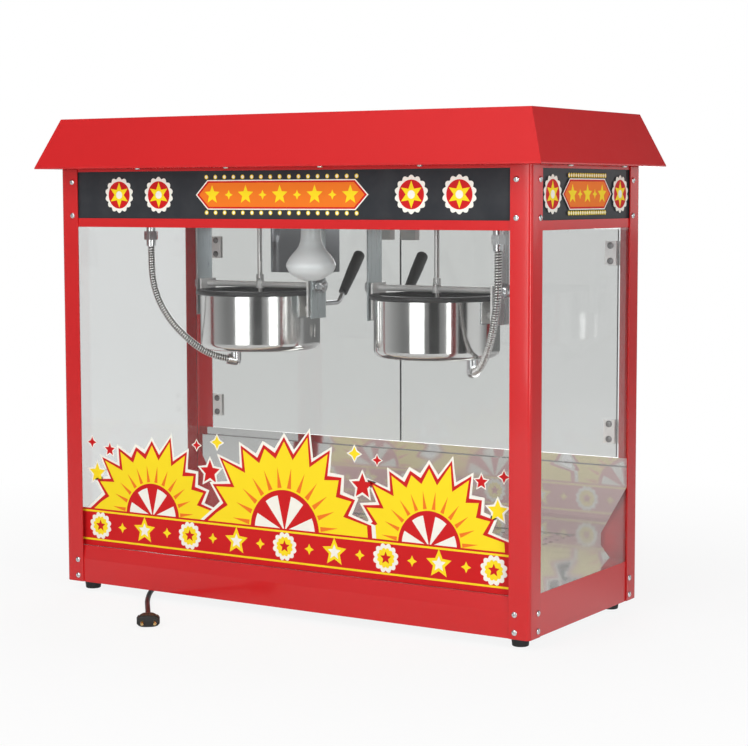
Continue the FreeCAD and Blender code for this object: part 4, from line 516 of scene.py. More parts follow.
def finish_mesh(bm, name, finish, crease=38.0):
    """A mesh object from built geometry, smooth between sharp edges."""
    bmesh.ops.recalc_face_normals(bm, faces=bm.faces)
    mesh = bpy.data.meshes.new(name)
    bm.to_mesh(mesh)
    bm.free()
    mesh.shade_smooth()
    mesh.set_sharp_from_angle(angle=math.radians(crease))
    made = bpy.data.objects.new(name, mesh)
    bpy.context.scene.collection.objects.link(made)
    for item in finish if isinstance(finish, (list, tuple)) else [finish]:
        mesh.materials.append(MATERIALS[item])
    return made


def skin_rings(bm, rings, close=(True, True), index=0):
    """Faces between rings of points, with flat ends where they are closed."""
    loops = [[bm.verts.new(point) for point in ring] for ring in rings]
    faces = []
    for first, second in zip(loops, loops[1:]):
        for i in range(len(first)):
            j = (i + 1) % len(first)
            faces.append(bm.faces.new((first[i], first[j], second[j], second[i])))
    if close[0]:
        faces.append(bm.faces.new(reversed(loops[0])))
    if close[1]:
        faces.append(bm.faces.new(loops[-1]))
    for face in faces:
        face.material_index = index
    return loops


def turned(profile, matrix, count=32):
    """Rings of a turned piece: (radius, height) pairs about the matrix's Z axis."""
    rings = []
    for radius, height in profile:
        ring = []
        for i in range(count):
            angle = 2 * math.pi * i / count
            ring.append(matrix @ Vector((radius * math.cos(angle), radius * math.sin(angle), height)))
        rings.append(ring)
    return rings


def looking(direction, origin, up=(0, 0, 1)):
    """A matrix whose Z axis points along a direction."""
    z = Vector(direction).normalized()
    side = Vector(up).cross(z)
    if side.length < 1e-5:
        side = Vector((1, 0, 0)).cross(z) if abs(z.x) < 0.9 else Vector((0, 1, 0)).cross(z)
    x = side.normalized()
    y = z.cross(x)
    matrix = Matrix((x, y, z)).transposed().to_4x4()
    matrix.translation = Vector(origin)
    return matrix


def spline_curve(name, points):
    """One open smooth spline through a route of control points."""
    data = bpy.data.curves.new(name, "CURVE")
    data.dimensions = "3D"
    spline = data.splines.new("NURBS")
    spline.points.add(len(points) - 1)
    for made, point in zip(spline.points, points):
        made.co = (*point, 1.0)
    spline.order_u = 3
    spline.use_endpoint_u = True
    data.resolution_u = 12
    made = bpy.data.objects.new(name, data)
    bpy.context.scene.collection.objects.link(made)
    return made


def read_route(points):
    """Points along a route's smooth spline."""
    guide = spline_curve("route_guide", points)
    mesh = bpy.data.meshes.new_from_object(guide)
    found = [vert.co.copy() for vert in mesh.vertices]
    bpy.data.meshes.remove(mesh)
    data = guide.data
    bpy.data.objects.remove(guide)
    bpy.data.curves.remove(data)
    return found


def even_steps(points, step):
    """Evenly spaced places and headings along a line of points."""
    lengths = [0.0]
    for first, second in zip(points, points[1:]):
        lengths.append(lengths[-1] + (second - first).length)
    count = max(round(lengths[-1] / step), 1)
    found = []
    spot = 0
    for i in range(count + 1):
        along = lengths[-1] * i / count
        while spot < len(points) - 2 and lengths[spot + 1] < along:
            spot += 1
        run = points[spot + 1] - points[spot]
        share = (along - lengths[spot]) / max(run.length, 1e-9)
        found.append((points[spot] + run * share, run.normalized(), along))
    return found


def along_frames(marks):
    """Frames that turn as little as possible along a line."""
    frames = []
    side = None
    for place, heading, along in marks:
        if side is None:
            side = heading.orthogonal().normalized()
        side = (side - heading * side.dot(heading)).normalized()
        frames.append((place, side, heading.cross(side), along))
    return frames


def ride(piece, body):
    """Let a piece move with a body."""
    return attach(piece, body)


# Operators


class POPCORN_OT_finishes(bpy.types.Operator):
    """Make every finish and put it on the pieces that keep their modelled shape"""

    bl_idname = "popcorn.finishes"
    bl_label = "Finishes"

    def execute(self, context):
        tone = context.scene.popcorn_finish
        build_groups()
        paint("red_paint", tone.red, 0.24, 0.4, 0.3)
        paint("roof_paint", tone.red, 0.44, 0.0, 0.22)
        metal("stainless", tone.steel, (5, 420, 420), 0.30, 0.22, marks=0.4)
        metal("stainless_upright", tone.steel, (420, 420, 5), 0.28, 0.22, marks=0.4)
        metal("deck_sheet", tone.polished, (5, 380, 380), 0.035, 0.04, 0.01, marks=0.15)
        metal("polished_steel", tone.polished, (3, 3, 900), 0.12, 0.06, 0.02, marks=0.25)
        metal("bright_plating", tone.plating, (160, 160, 160), 0.20, 0.10)
        metal("dark_steel", (0.22, 0.22, 0.22), (160, 160, 160), 0.30, 0.10)
        metal("box_steel", (0.42, 0.43, 0.45), (3, 3, 900), 0.08, 0.06, 0.02)
        metal("satin_bar", (0.88, 0.88, 0.87), (6, 300, 300), 0.30, 0.06, bare=0.2)
        moulded("pale_nylon", (0.62, 0.63, 0.62), 400.0, 0.40, 0.05)
        metal("armour_steel", tone.polished, (300, 300, 300), 0.26, 0.15)
        # Near-black steel for the faces deep in the conduit's groove: painted shade in the winding's gap.
        metal("armour_groove_painted_shade", (0.10, 0.10, 0.095), (300, 300, 300), 0.45, 0.15)
        metal("zinc_plate", (0.58, 0.63, 0.64), (420, 420, 5), 0.28, 0.20, marks=0.4)
        metal("brass", tone.brass, (200, 200, 200), 0.24, 0.12)
        spangled("galvanised", tone.zinc)
        moulded("rubber", tone.black, 700.0, 0.66)
        moulded("black_plastic", tone.black, 1100.0, 0.36, 0.10, Coat_Weight=0.15)
        moulded("red_plastic", tone.red, 1100.0, 0.30, 0.06, Coat_Weight=0.3)
        moulded("cord_rubber", tone.black, 1500.0, 0.46, 0.12)
        moulded("black_acrylic", tone.acrylic, 300.0, 0.16, 0.01, Specular_IOR_Level=0.12)
        moulded("lamp_white", (0.70, 0.71, 0.70), 600.0, 0.40, 0.05)
        speckled_pan("nonstick", tone.nonstick)
        rough_cast("cast_heater", (0.12, 0.12, 0.125))
        frosted_lamp("frosted_glass", tone.lamp)
        clear_pane("clear_pane", tone.glass)
        clear_pane("clear_pane_side", tone.side_glass)
        clear_pane("clear_pane_door", tone.door_glass)
        for ink in ("red", "yellow", "orange", "cream"):
            print_ink(f"print_{ink}", getattr(tone, ink))
            print_reverse(f"reverse_{ink}", getattr(tone, ink))
        finishes = {
            "red_paint": ("corner_posts", "base_front_panel", "base_rear_panel", "base_side_panels",
                          "sign_rails", "control_panel", "roof_frame"),
            "roof_paint": ("roof_shell",),
            "stainless": ("kernel_drawer", "ceiling"),
            "deck_sheet": ("deck_panels", "sifter_plate"),
            "stainless_upright": ("left_stirrer", "right_stirrer", "left_drive_shaft", "right_drive_shaft"),
            "zinc_plate": ("kettle_hangers",),
            "galvanised": ("base_floor", "drawer_runners", "stir_motors"),
            "rubber": ("rubber_feet",),
            "clear_pane": ("front_glass",),
            "clear_pane_side": ("side_glass",),
            "clear_pane_door": ("left_door_pane", "right_door_pane"),
            "black_acrylic": ("sign_panels",),
            "black_plastic": ("switch_housings", "left_grip", "right_grip"),
            "pale_nylon": ("door_catches",),
            "satin_bar": ("left_yoke", "right_yoke", "frame_hinges", "left_door_hardware", "right_door_hardware"),
            "red_plastic": ("left_rocker", "centre_rocker", "right_rocker"),
            "bright_plating": ("cabinet_screws", "conduit_fittings", "left_handle_rod", "right_handle_rod",
                               "left_elbow", "right_elbow"),
            "frosted_glass": ("lamp_bulb",),
            "lamp_white": ("lamp_holder",),
            "polished_steel": ("left_kettle_shell", "right_kettle_shell"),
            "box_steel": ("wiring_box",),
            "nonstick": ("left_pan", "right_pan"),
            "cast_heater": ("left_heater", "right_heater"),
            "armour_steel": ("left_conduit", "right_conduit"),
            "cord_rubber": ("cord_gland", "cord_tail", "cord_coil", "cord_lead", "plug"),
        }
        for finish, names in finishes.items():
            for name in names:
                for slot in NODES[name].material_slots:
                    slot.material = MATERIALS[finish]
        return {"FINISHED"}


def coil_points():
    """Control points of the put-away coil: in on the upper layer, out on the floor."""
    middle = COIL_TURNS / 2
    radius_of_lead = 0.004
    points = []
    for i in range(round(COIL_TURNS * COIL_STEPS) + 1):
        turn = i / COIL_STEPS
        away = abs(turn - middle)
        soft = away if away > COIL_BLEND else away ** 2 / (2 * COIL_BLEND) + COIL_BLEND / 2
        radius = COIL_INNER + COIL_PITCH * soft
        climb = min(max((turn - middle + COIL_BLEND) / (2 * COIL_BLEND), 0), 1)
        drop = climb * climb * (3 - 2 * climb)
        angle = 2 * math.pi * turn
        points.append((COIL_CENTRE[0] + radius * math.cos(angle), COIL_CENTRE[1] + radius * math.sin(angle),
                       radius_of_lead + COIL_PITCH * (1 - drop)))
    return points


class POPCORN_OT_mains_lead(bpy.types.Operator):
    """Lay the mains lead, with its gland, the tie round its coil and its plug"""

    bl_idname = "popcorn.mains_lead"
    bl_label = "Mains lead"

    def execute(self, context):
        sizes = context.scene.popcorn_leads
        radius = sizes.diameter / 2
        lead = spline_curve("mains_lead", (*TAIL_POINTS, *coil_points(), *LEAD_POINTS))
        lead.data.bevel_depth = radius
        lead.data.bevel_resolution = 6
        lead.data.use_fill_caps = True
        lead.data.materials.append(MATERIALS["cord_rubber"])
        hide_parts("cord_tail", "cord_coil", "cord_lead")
        ride(lead, "cabinet")
        gland = self.gland(radius)
        tie = self.tie()
        plug = self.plug(radius)
        return {"FINISHED"}

    def gland(self, radius):
        """Segmented strain relief that tapers towards the lead."""
        profile = [(0.00405, -0.006), (0.0080, -0.006), (0.0080, 0.0), (0.0118, 0.0), (0.0120, 0.0004),
                   (0.0120, 0.0042), (0.0114, 0.0050), (0.0082, 0.0056)]
        segments = 6
        for i in range(segments):
            start = 0.0072 + i * 0.0040
            wide = 0.0080 - i * 0.00042
            profile += [(wide - 0.0014, start - 0.0010), (wide - 0.0014, start), (wide, start + 0.0002),
                        (wide - 0.0001, start + 0.0026), (wide - 0.0014, start + 0.0029)]
        profile += [(radius + 0.0012, 0.0318), (radius + 0.0006, 0.0320), (0.00405, 0.0320)]
        bm = bmesh.new()
        frame_at = looking((0, 1, 0), GLAND_MOUTH)
        rings = turned(profile, frame_at)
        skin_rings(bm, rings + [rings[0]], (False, False))
        bmesh.ops.remove_doubles(bm, verts=bm.verts, dist=1e-6)
        piece = finish_mesh(bm, "lead_gland", "cord_rubber")
        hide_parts("cord_gland")
        return ride(piece, "cabinet")

    def tie(self):
        """Strap with a slotted end round the coil's turns."""
        angle = math.radians(45)
        out = Vector((math.cos(angle), math.sin(angle), 0))
        along = Vector((-math.sin(angle), math.cos(angle), 0))
        centre = Vector((*COIL_CENTRE, 0)) + out * 0.0472
        half = (0.0110, 0.0088)
        gauge = 0.0009
        corner = 0.0038
        bm = bmesh.new()
        outline = []
        for quarter in range(4):
            sx = (1, -1, -1, 1)[quarter]
            sz = (1, 1, -1, -1)[quarter]
            for step in range(7):
                turn = math.radians(90 * quarter + 90 * step / 6)
                outline.append((sx * (half[0] - corner) + corner * math.cos(turn),
                                sz * (half[1] - corner) + corner * math.sin(turn)))
        rings = []
        for grow, across in ((0, -0.005), (gauge, -0.0046), (gauge, 0.0046), (0, 0.005)):
            ring = []
            for u, v in outline:
                swell = 1 + grow / math.hypot(u, v)
                ring.append(centre + out * u * swell + Vector((0, 0, half[1] + gauge + v * swell)) + along * across)
            rings.append(ring)
        skin_rings(bm, rings + [rings[0]], (False, False))
        tab = looking((0, 0, 1), centre + out * 0.001 + Vector((0, 0, 2 * half[1] + 1.9 * gauge)), along)
        outline = [(-0.0055, -0.0052), (0.0065, -0.0052), (0.0085, -0.003), (0.0085, 0.003), (0.0065, 0.0052),
                   (-0.0055, 0.0052)]
        rings = [[tab @ Vector((v, -u, rise)) for u, v in outline] for rise in (-0.0006, 0.0009)]
        skin_rings(bm, rings)
        bmesh.ops.remove_doubles(bm, verts=bm.verts, dist=1e-6)
        piece = finish_mesh(bm, "coil_tie", "rubber")
        return ride(piece, "cabinet")

    def plug(self, radius):
        """Moulded plug with grip ridges and two pins."""
        start = Vector(LEAD_POINTS[-1])
        heading = (start - Vector(LEAD_POINTS[-2])).normalized()
        at = looking(heading, start)
        sections = ((0.0, 0.0052, 0.0052), (0.004, 0.0056, 0.0056), (0.010, 0.0072, 0.0066),
                    (0.0176, 0.0119, 0.0086), (0.024, 0.0146, 0.0089), (0.0308, 0.0166, 0.0090),
                    (0.040, 0.0170, 0.0090), (0.0428, 0.0166, 0.0087), (0.044, 0.0154, 0.0078))
        count = 40
        rings = []
        for level, wide, thick in sections:
            ring = []
            for i in range(count):
                angle = 2 * math.pi * i / count
                power = 0.62 if level > 0.012 else 1.0
                c = math.copysign(abs(math.cos(angle)) ** power, math.cos(angle))
                s = math.copysign(abs(math.sin(angle)) ** power, math.sin(angle))
                ring.append(at @ Vector((wide * c, thick * s, level)))
            rings.append(ring)
        bm = bmesh.new()
        skin_rings(bm, rings)
        for i in range(5):
            level = 0.0215 + i * 0.0034
            for side in (-1, 1):
                reach = 0.0140 + 0.0005 * i
                ridge = [at @ Vector((side * (reach + dx), dy, level + dz))
                         for dx, dy, dz in ((0, -0.0062, -0.0006), (0, 0.0062, -0.0006), (0, 0.0062, 0.0012),
                                            (0, -0.0062, 0.0012))]
                crest = [at @ Vector((side * (reach + 0.0014), dy, level + dz))
                         for dy, dz in ((-0.0050, 0.0), (0.0050, 0.0), (0.0050, 0.0006), (-0.0050, 0.0006))]
                skin_rings(bm, [ridge, crest])
        for side in (-1, 1):
            offset = at @ Matrix.Translation((side * 0.0095, 0, 0))
            skin_rings(bm, turned(((0.0034, 0.0436), (0.0034, 0.0446), (0.0028, 0.0450)), offset, 20))
            skin_rings(bm, turned(((0.0024, 0.0440), (0.0024, 0.0612), (0.0022, 0.0622), (0.0016, 0.0630)), offset, 20),
                       (True, True), 1)
        piece = finish_mesh(bm, "lead_plug", ("cord_rubber", "brass"))
        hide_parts("plug")
        return ride(piece, "cabinet")


class POPCORN_OT_conduits(bpy.types.Operator):
    """Wind the armoured conduits between the kettles' elbows and the ceiling fittings"""

    bl_idname = "popcorn.conduits"
    bl_label = "Armoured conduits"

    def execute(self, context):
        sizes = context.scene.popcorn_leads
        for side, sign in SIDES:
            start = Vector((sign * CONDUIT_START[0], *CONDUIT_START[1:]))
            top = Vector((sign * CONDUIT_TOP[0], *CONDUIT_TOP[1:]))
            plan = Vector((sign * CONDUIT_HEADING[0], CONDUIT_HEADING[1], 0))
            route = [start] + [start + plan * run + Vector((0, 0, rise)) for run, rise in CONDUIT_STEPS]
            route += [top - Vector((0, 0, CONDUIT_RUN)), top]
            line = read_route(route)
            piece = self.wind(f"{side}_armour", line, sizes)
            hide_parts(f"{side}_conduit")
            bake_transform(piece)
        return {"FINISHED"}

    def wind(self, name, line, sizes):
        """A hollow tube whose outside is a wound strip with a hooked edge; the faces deep in its groove take a dark
        finish as painted shade.
        """
        outer = sizes.conduit / 2
        groove = 0.0014
        strip = 0.58
        count = 24
        steps = 12
        rings = []
        for place, side, up, along in along_frames(even_steps(line, sizes.rib / steps)):
            ring = []
            for i in range(count):
                angle = 2 * math.pi * i / count
                turn = (along / sizes.rib - i / count) % 1.0
                dip = 0.0 if turn < strip else math.sin(math.pi * (turn - strip) / (1 - strip)) ** 0.6
                lip = 0.2 * groove * math.sin(math.pi * min(turn / strip, 1.0))
                radius = outer - groove * dip - 0.2 * groove + lip
                ring.append(place + (side * math.cos(angle) + up * math.sin(angle)) * radius)
            rings.append(ring)
        inner = []
        for place, side, up, along in along_frames(even_steps(line, sizes.rib)):
            inner.append([place + (side * math.cos(2 * math.pi * i / count) + up * math.sin(2 * math.pi * i / count))
                          * sizes.bore / 2 for i in range(count)])
        bm = bmesh.new()
        skin_rings(bm, rings + inner[::-1] + rings[:1], (False, False))
        bm.faces.ensure_lookup_table()
        # Faces deep in the groove take the second, dark finish: painted shade in the gap between turns.
        for k in range(len(rings) - 1):
            for i in range(count):
                turn = ((k + 0.5) / steps - (i + 0.5) / count) % 1.0
                bm.faces[k * count + i].material_index = int(turn > strip + 0.06)
        bmesh.ops.remove_doubles(bm, verts=bm.verts, dist=1e-7)
        return finish_mesh(bm, name, ("armour_steel", "armour_groove_painted_shade"), 60)


class POPCORN_OT_crossbar_nuts(bpy.types.Operator):
    """Put a washer and a nut on each end of the kettles' crossbars"""

    bl_idname = "popcorn.crossbar_nuts"
    bl_label = "Crossbar nuts"

    def execute(self, context):
        for side, sign in SIDES:
            low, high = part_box(f"{side}_yoke")
            bm = bmesh.new()
            for end, x in ((-1, low[0]), (1, high[0])):
                self.nut(bm, looking((end, 0, 0), (x, *TILT_AXIS)))
            piece = finish_mesh(bm, f"{side}_crossbar_nuts", "bright_plating", 30)
            ride(piece, f"{side}_kettle")
        return {"FINISHED"}

    def nut(self, bm, at):
        """A washer, a chamfered six-sided nut and the domed end of the bar."""
        skin_rings(bm, turned(((0.0118, -0.0026), (0.0120, -0.0024), (0.0120, -0.0012), (0.0118, -0.0010)), at))
        flats = 0.0095
        rings = []
        for round_over, level in ((1.0, -0.0010), (0.0, -0.0002), (0.0, 0.0066), (1.0, 0.0076)):
            ring = []
            for i in range(36):
                angle = 2 * math.pi * i / 36
                six = flats / math.cos((angle + math.pi / 6) % (math.pi / 3) - math.pi / 6)
                reach = six + (min(six, flats * 1.03) - six) * round_over
                ring.append(at @ Vector((reach * math.cos(angle), reach * math.sin(angle), level)))
            rings.append(ring)
        skin_rings(bm, rings)
        skin_rings(bm, turned(((0.0060, 0.0070), (0.0060, 0.0088), (0.0048, 0.0099), (0.0030, 0.0104)), at, 24))


class POPCORN_OT_hinge_bolts(bpy.types.Operator):
    """Turn the dark domed bolt heads on the doors' hinges"""

    bl_idname = "popcorn.hinge_bolts"
    bl_label = "Hinge bolts"

    def execute(self, context):
        dome = ((0.0053, 0.0), (0.0053, 0.0008), (0.0049, 0.0017), (0.0039, 0.0024), (0.0024, 0.0027))
        for side, sign in SIDES:
            bm = bmesh.new()
            for z in (0.264, 0.288, 0.544, 0.568):
                skin_rings(bm, turned(dome, looking((0, -1, 0), (sign * 0.3815, 0.173, z)), 24))
            piece = finish_mesh(bm, f"{side}_hinge_bolts", "dark_steel", 40)
            ride(piece, f"{side}_door")
        return {"FINISHED"}


class POPCORN_OT_posts(bpy.types.Operator):
    """Fold the four corner posts with their rounded corners"""

    bl_idname = "popcorn.posts"
    bl_label = "Corner posts"

    def execute(self, context):
        low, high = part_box("corner_posts")
        bm = bmesh.new()
        for sx in (-1, 1):
            for sy in (-1, 1):
                rings = []
                for inset, z in ((0.0004, low[2]), (0.0, low[2] + 0.0004), (0.0, high[2] - 0.0004), (0.0004, high[2])):
                    rings.append([(sx * (high[0] - u), sy * (high[1] - v), z) for u, v in self.section(inset)])
                skin_rings(bm, rings)
        piece = finish_mesh(bm, "folded_posts", "red_paint", 30)
        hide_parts("corner_posts")
        ride(piece, "cabinet")
        return {"FINISHED"}

    def section(self, inset):
        """Outline of one post, measured in from its outer corner."""
        outline = []
        for radius, out in ((POST_ROUND, inset), (POST_ROUND - POST_GAUGE, POST_GAUGE - inset)):
            turns = [math.pi / 2 * i / 12 for i in range(13)]
            arc = [(POST_ROUND - (POST_ROUND - out) * math.cos(turn), POST_ROUND - (POST_ROUND - out) * math.sin(turn))
                   for turn in turns]
            run = [(out, POST_LEG - inset)] + arc + [(POST_LEG - inset, out)]
            outline += run if not outline else run[::-1]
        return outline


def screw_places():
    """Where the cabinet's screws sit, and the way each one faces."""
    places = []
    for sx in (-1, 1):
        for sy in (-1, 1):
            for z in (0.669, 0.615, 0.051, 0.025):
                places.append(((sx * 0.406, sy * 0.180, z), (0, sy, 0)))
                places.append(((sx * 0.430, sy * 0.154, z), (sx, 0, 0)))
    for s in (-1, 1):
        for i in (-3, -1, 1, 3):
            places.append(((0.086 * i, s * 0.195, 0.690), (0, 0, -1)))
        for i in (-1, 1):
            places.append(((s * 0.445, 0.090 * i, 0.690), (0, 0, -1)))
    return places


class POPCORN_OT_screws(bpy.types.Operator):
    """Turn the pan-head screws with their cross recesses"""

    bl_idname = "popcorn.screws"
    bl_label = "Screws"

    def execute(self, context):
        bm = bmesh.new()
        for index, (place, facing) in enumerate(screw_places()):
            self.head(bm, looking(facing, place) @ Matrix.Rotation(0.7 * index, 4, "Z"))
        piece = finish_mesh(bm, "pan_head_screws", "bright_plating", 40)
        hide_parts("cabinet_screws")
        ride(piece, "cabinet")
        return {"FINISHED"}

    def head(self, bm, matrix):
        """One domed head with a cross recess."""
        profile = ((0.0044, 0.0), (0.0045, 0.0003), (0.0045, 0.0008), (0.0042, 0.0014), (0.0035, 0.0020),
                   (0.0027, 0.0024), (0.0022, 0.0025))
        loops = skin_rings(bm, turned(profile, matrix, 24), (True, False))
        arm = 0.0017
        half = 0.00042
        cross = [(arm, -half), (arm, half), (half, half), (half, arm), (-half, arm), (-half, half), (-arm, half),
                 (-arm, -half), (-half, -half), (-half, -arm), (half, -arm), (half, -half)]
        mouth = [bm.verts.new(matrix @ Vector((x, y, 0.0025))) for x, y in cross]
        pit = [bm.verts.new(matrix @ Vector((x * 0.7, y * 0.8, 0.0011))) for x, y in cross]
        edges = []
        for loop in (loops[-1], mouth):
            for i in range(len(loop)):
                pair = (loop[i], loop[(i + 1) % len(loop)])
                edges.append(bm.edges.get(pair) or bm.edges.new(pair))
        bmesh.ops.triangle_fill(bm, edges=edges, use_beauty=True, use_dissolve=False)
        for i in range(len(cross)):
            j = (i + 1) % len(cross)
            bm.faces.new((mouth[i], mouth[j], pit[j], pit[i]))
        bm.faces.new(pit)


class Print:
    """Printed shapes on one flat face, sorted by ink and stacked in thin layers."""

    def __init__(self, face, film, see_through=False):
        self.face = face
        self.film = film
        self.see_through = see_through
        self.inks = {}

    def shape(self, ink, layer, outline):
        """One printed shape, and its reverse on a film that is seen from both sides."""
        self.sheet(ink, layer, outline)
        if self.see_through:
            self.sheet(ink.replace("print", "reverse"), -1 - layer, outline)

    def sheet(self, ink, layer, outline):
        """A closed film of one ink."""
        bm = self.inks.setdefault(ink, bmesh.new())
        back = [bm.verts.new(self.face(u, v, layer * self.film)) for u, v in outline]
        front = [bm.verts.new(self.face(u, v, (layer + 1) * self.film)) for u, v in outline]
        bm.faces.new(front)
        bm.faces.new(back[::-1])
        for i in range(len(outline)):
            j = (i + 1) % len(outline)
            bm.faces.new((back[i], back[j], front[j], front[i]))

    def pieces(self, name):
        """One piece for each ink, on the cabinet."""
        for ink, bm in self.inks.items():
            piece = finish_mesh(bm, f"{name}_{ink.replace('print_', '')}", ink, 20)
            ride(piece, "cabinet")


def disc(u, v, radius, count=40):
    """Outline of a disc."""
    return [(u + radius * math.cos(2 * math.pi * i / count), v + radius * math.sin(2 * math.pi * i / count))
            for i in range(count)]


def star(u, v, outer, inner, points, turn=math.pi / 2):
    """Outline of a star."""
    found = []
    for i in range(points * 2):
        angle = turn + math.pi * i / points
        radius = inner if i % 2 else outer
        found.append((u + radius * math.cos(angle), v + radius * math.sin(angle)))
    return found


def rosette(u, v, radius, lobes, depth, count=96):
    """Outline of a disc with a scalloped edge."""
    found = []
    for i in range(count):
        angle = 2 * math.pi * i / count
        reach = radius * (1 - depth + depth * abs(math.sin(lobes * angle / 2)))
        found.append((u + reach * math.cos(angle), v + reach * math.sin(angle)))
    return found


def bar(u0, u1, v0, v1):
    """Outline of a rectangle."""
    return [(u0, v0), (u1, v0), (u1, v1), (u0, v1)]


def fan(u, v, outer, inner, spikes, wobble=0.0):
    """Outline of half a spiky burst that stands on a line."""
    found = [(u + outer * 0.98, v)]
    for i in range(1, spikes * 2):
        angle = math.pi * i / (spikes * 2)
        if i % 2:
            radius = outer * (1 - wobble * (0.5 + 0.5 * math.cos(2.4 * i)))
        else:
            radius = inner
        found.append((u + radius * math.cos(angle), v + radius * math.sin(angle)))
    found.append((u - outer * 0.98, v))
    return found


class POPCORN_OT_pane_print(bpy.types.Operator):
    """Print the band, the rising fans and the stars on the front pane"""

    bl_idname = "popcorn.pane_print"
    bl_label = "Pane print"

    def execute(self, context):
        sizes = context.scene.popcorn_print
        face_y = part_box("front_glass")[0][1]
        middle_y = face_y - sizes.film * (PRINT_LAYERS + 1)
        page = Print(lambda u, v, rise: (u, middle_y - rise, v), sizes.film, True)
        low, high, half = sizes.band_low, sizes.band_high, sizes.half_width
        for middle, reach, layer in ((-0.258, 0.134, 0), (0.0, 0.160, 5), (0.258, 0.134, 0)):
            self.sunrise(page, middle, high - 0.004, reach, layer)
        page.shape("print_red", 10, bar(-half, half, low, high))
        for edge in (low + 0.0085, high - 0.006):
            page.shape("print_yellow", 11, bar(-half, half, edge, edge + 0.003))
        step = 2 * half / sizes.rosettes
        centre = (low + high) / 2 + 0.003
        for i in range(sizes.rosettes):
            u = -half + step * (i + 0.5)
            if i % 2:
                page.shape("print_yellow", 11, star(u, centre, 0.0225, 0.0105, 5))
                page.shape("print_cream", 12, star(u, centre, 0.0120, 0.0056, 5))
            else:
                page.shape("print_cream", 11, rosette(u, centre, 0.0225, 12, 0.16))
                page.shape("print_yellow", 12, rosette(u, centre, 0.0155, 12, 0.16))
                page.shape("print_red", 13, star(u, centre, 0.0100, 0.0046, 5))
            if i:
                page.shape("print_yellow", 11, star(u - step / 2, centre, 0.0085, 0.0040, 4))
        self.confetti(page)
        page.pieces("pane_print")
        return {"FINISHED"}

    def sunrise(self, page, u, v, reach, layer):
        """A rising fan of rays behind a striped dome."""
        page.shape("print_cream", layer, fan(u, v, reach + 0.010, reach * 0.74 + 0.010, 11, 0.16))
        page.shape("print_red", layer + 1, fan(u, v, reach + 0.003, reach * 0.74 + 0.003, 11, 0.16))
        page.shape("print_yellow", layer + 2, fan(u, v, reach - 0.005, reach * 0.74 - 0.006, 11, 0.16))
        rays = 12
        for i in range(rays):
            start = math.pi * (i + 0.28) / rays
            end = math.pi * (i + 0.72) / rays
            near = reach * 0.42
            far = reach * 0.62
            page.shape("print_orange", layer + 3, [
                (u + near * math.cos(start), v + near * math.sin(start)),
                (u + far * math.cos((start + end) / 2), v + far * math.sin((start + end) / 2)),
                (u + near * math.cos(end), v + near * math.sin(end))])
        dome = [(u + reach * 0.40 * math.cos(math.pi * i / 32), v + reach * 0.40 * math.sin(math.pi * i / 32))
                for i in range(33)]
        page.shape("print_red", layer + 3, dome)
        stripes = 7
        for i in range(0, stripes, 2):
            wedge = [(u, v)]
            for k in range(7):
                angle = math.pi * (i + k / 6) / stripes
                wedge.append((u + reach * 0.35 * math.cos(angle), v + reach * 0.35 * math.sin(angle)))
            page.shape("print_cream", layer + 4, wedge)

    def confetti(self, page):
        """Loose stars and dots over the fans."""
        spots = ((-0.372, 0.196, 0.017, 5, "yellow"), (-0.382, 0.246, 0.009, 4, "red"), (-0.345, 0.236, 0.011, 5, "red"),
                 (-0.142, 0.214, 0.020, 5, "red"), (-0.128, 0.262, 0.011, 4, "yellow"), (-0.168, 0.255, 0.008, 4, "red"),
                 (0.142, 0.214, 0.020, 5, "red"), (0.128, 0.262, 0.011, 4, "yellow"), (0.168, 0.255, 0.008, 4, "red"),
                 (0.372, 0.196, 0.017, 5, "yellow"), (0.382, 0.246, 0.009, 4, "red"), (0.345, 0.236, 0.011, 5, "red"))
        for u, v, size, points, ink in spots:
            page.shape("print_cream", 0, star(u, v, size * 1.28, size * 0.66, points))
            page.shape(f"print_{ink}", 1, star(u, v, size, size * 0.46, points))


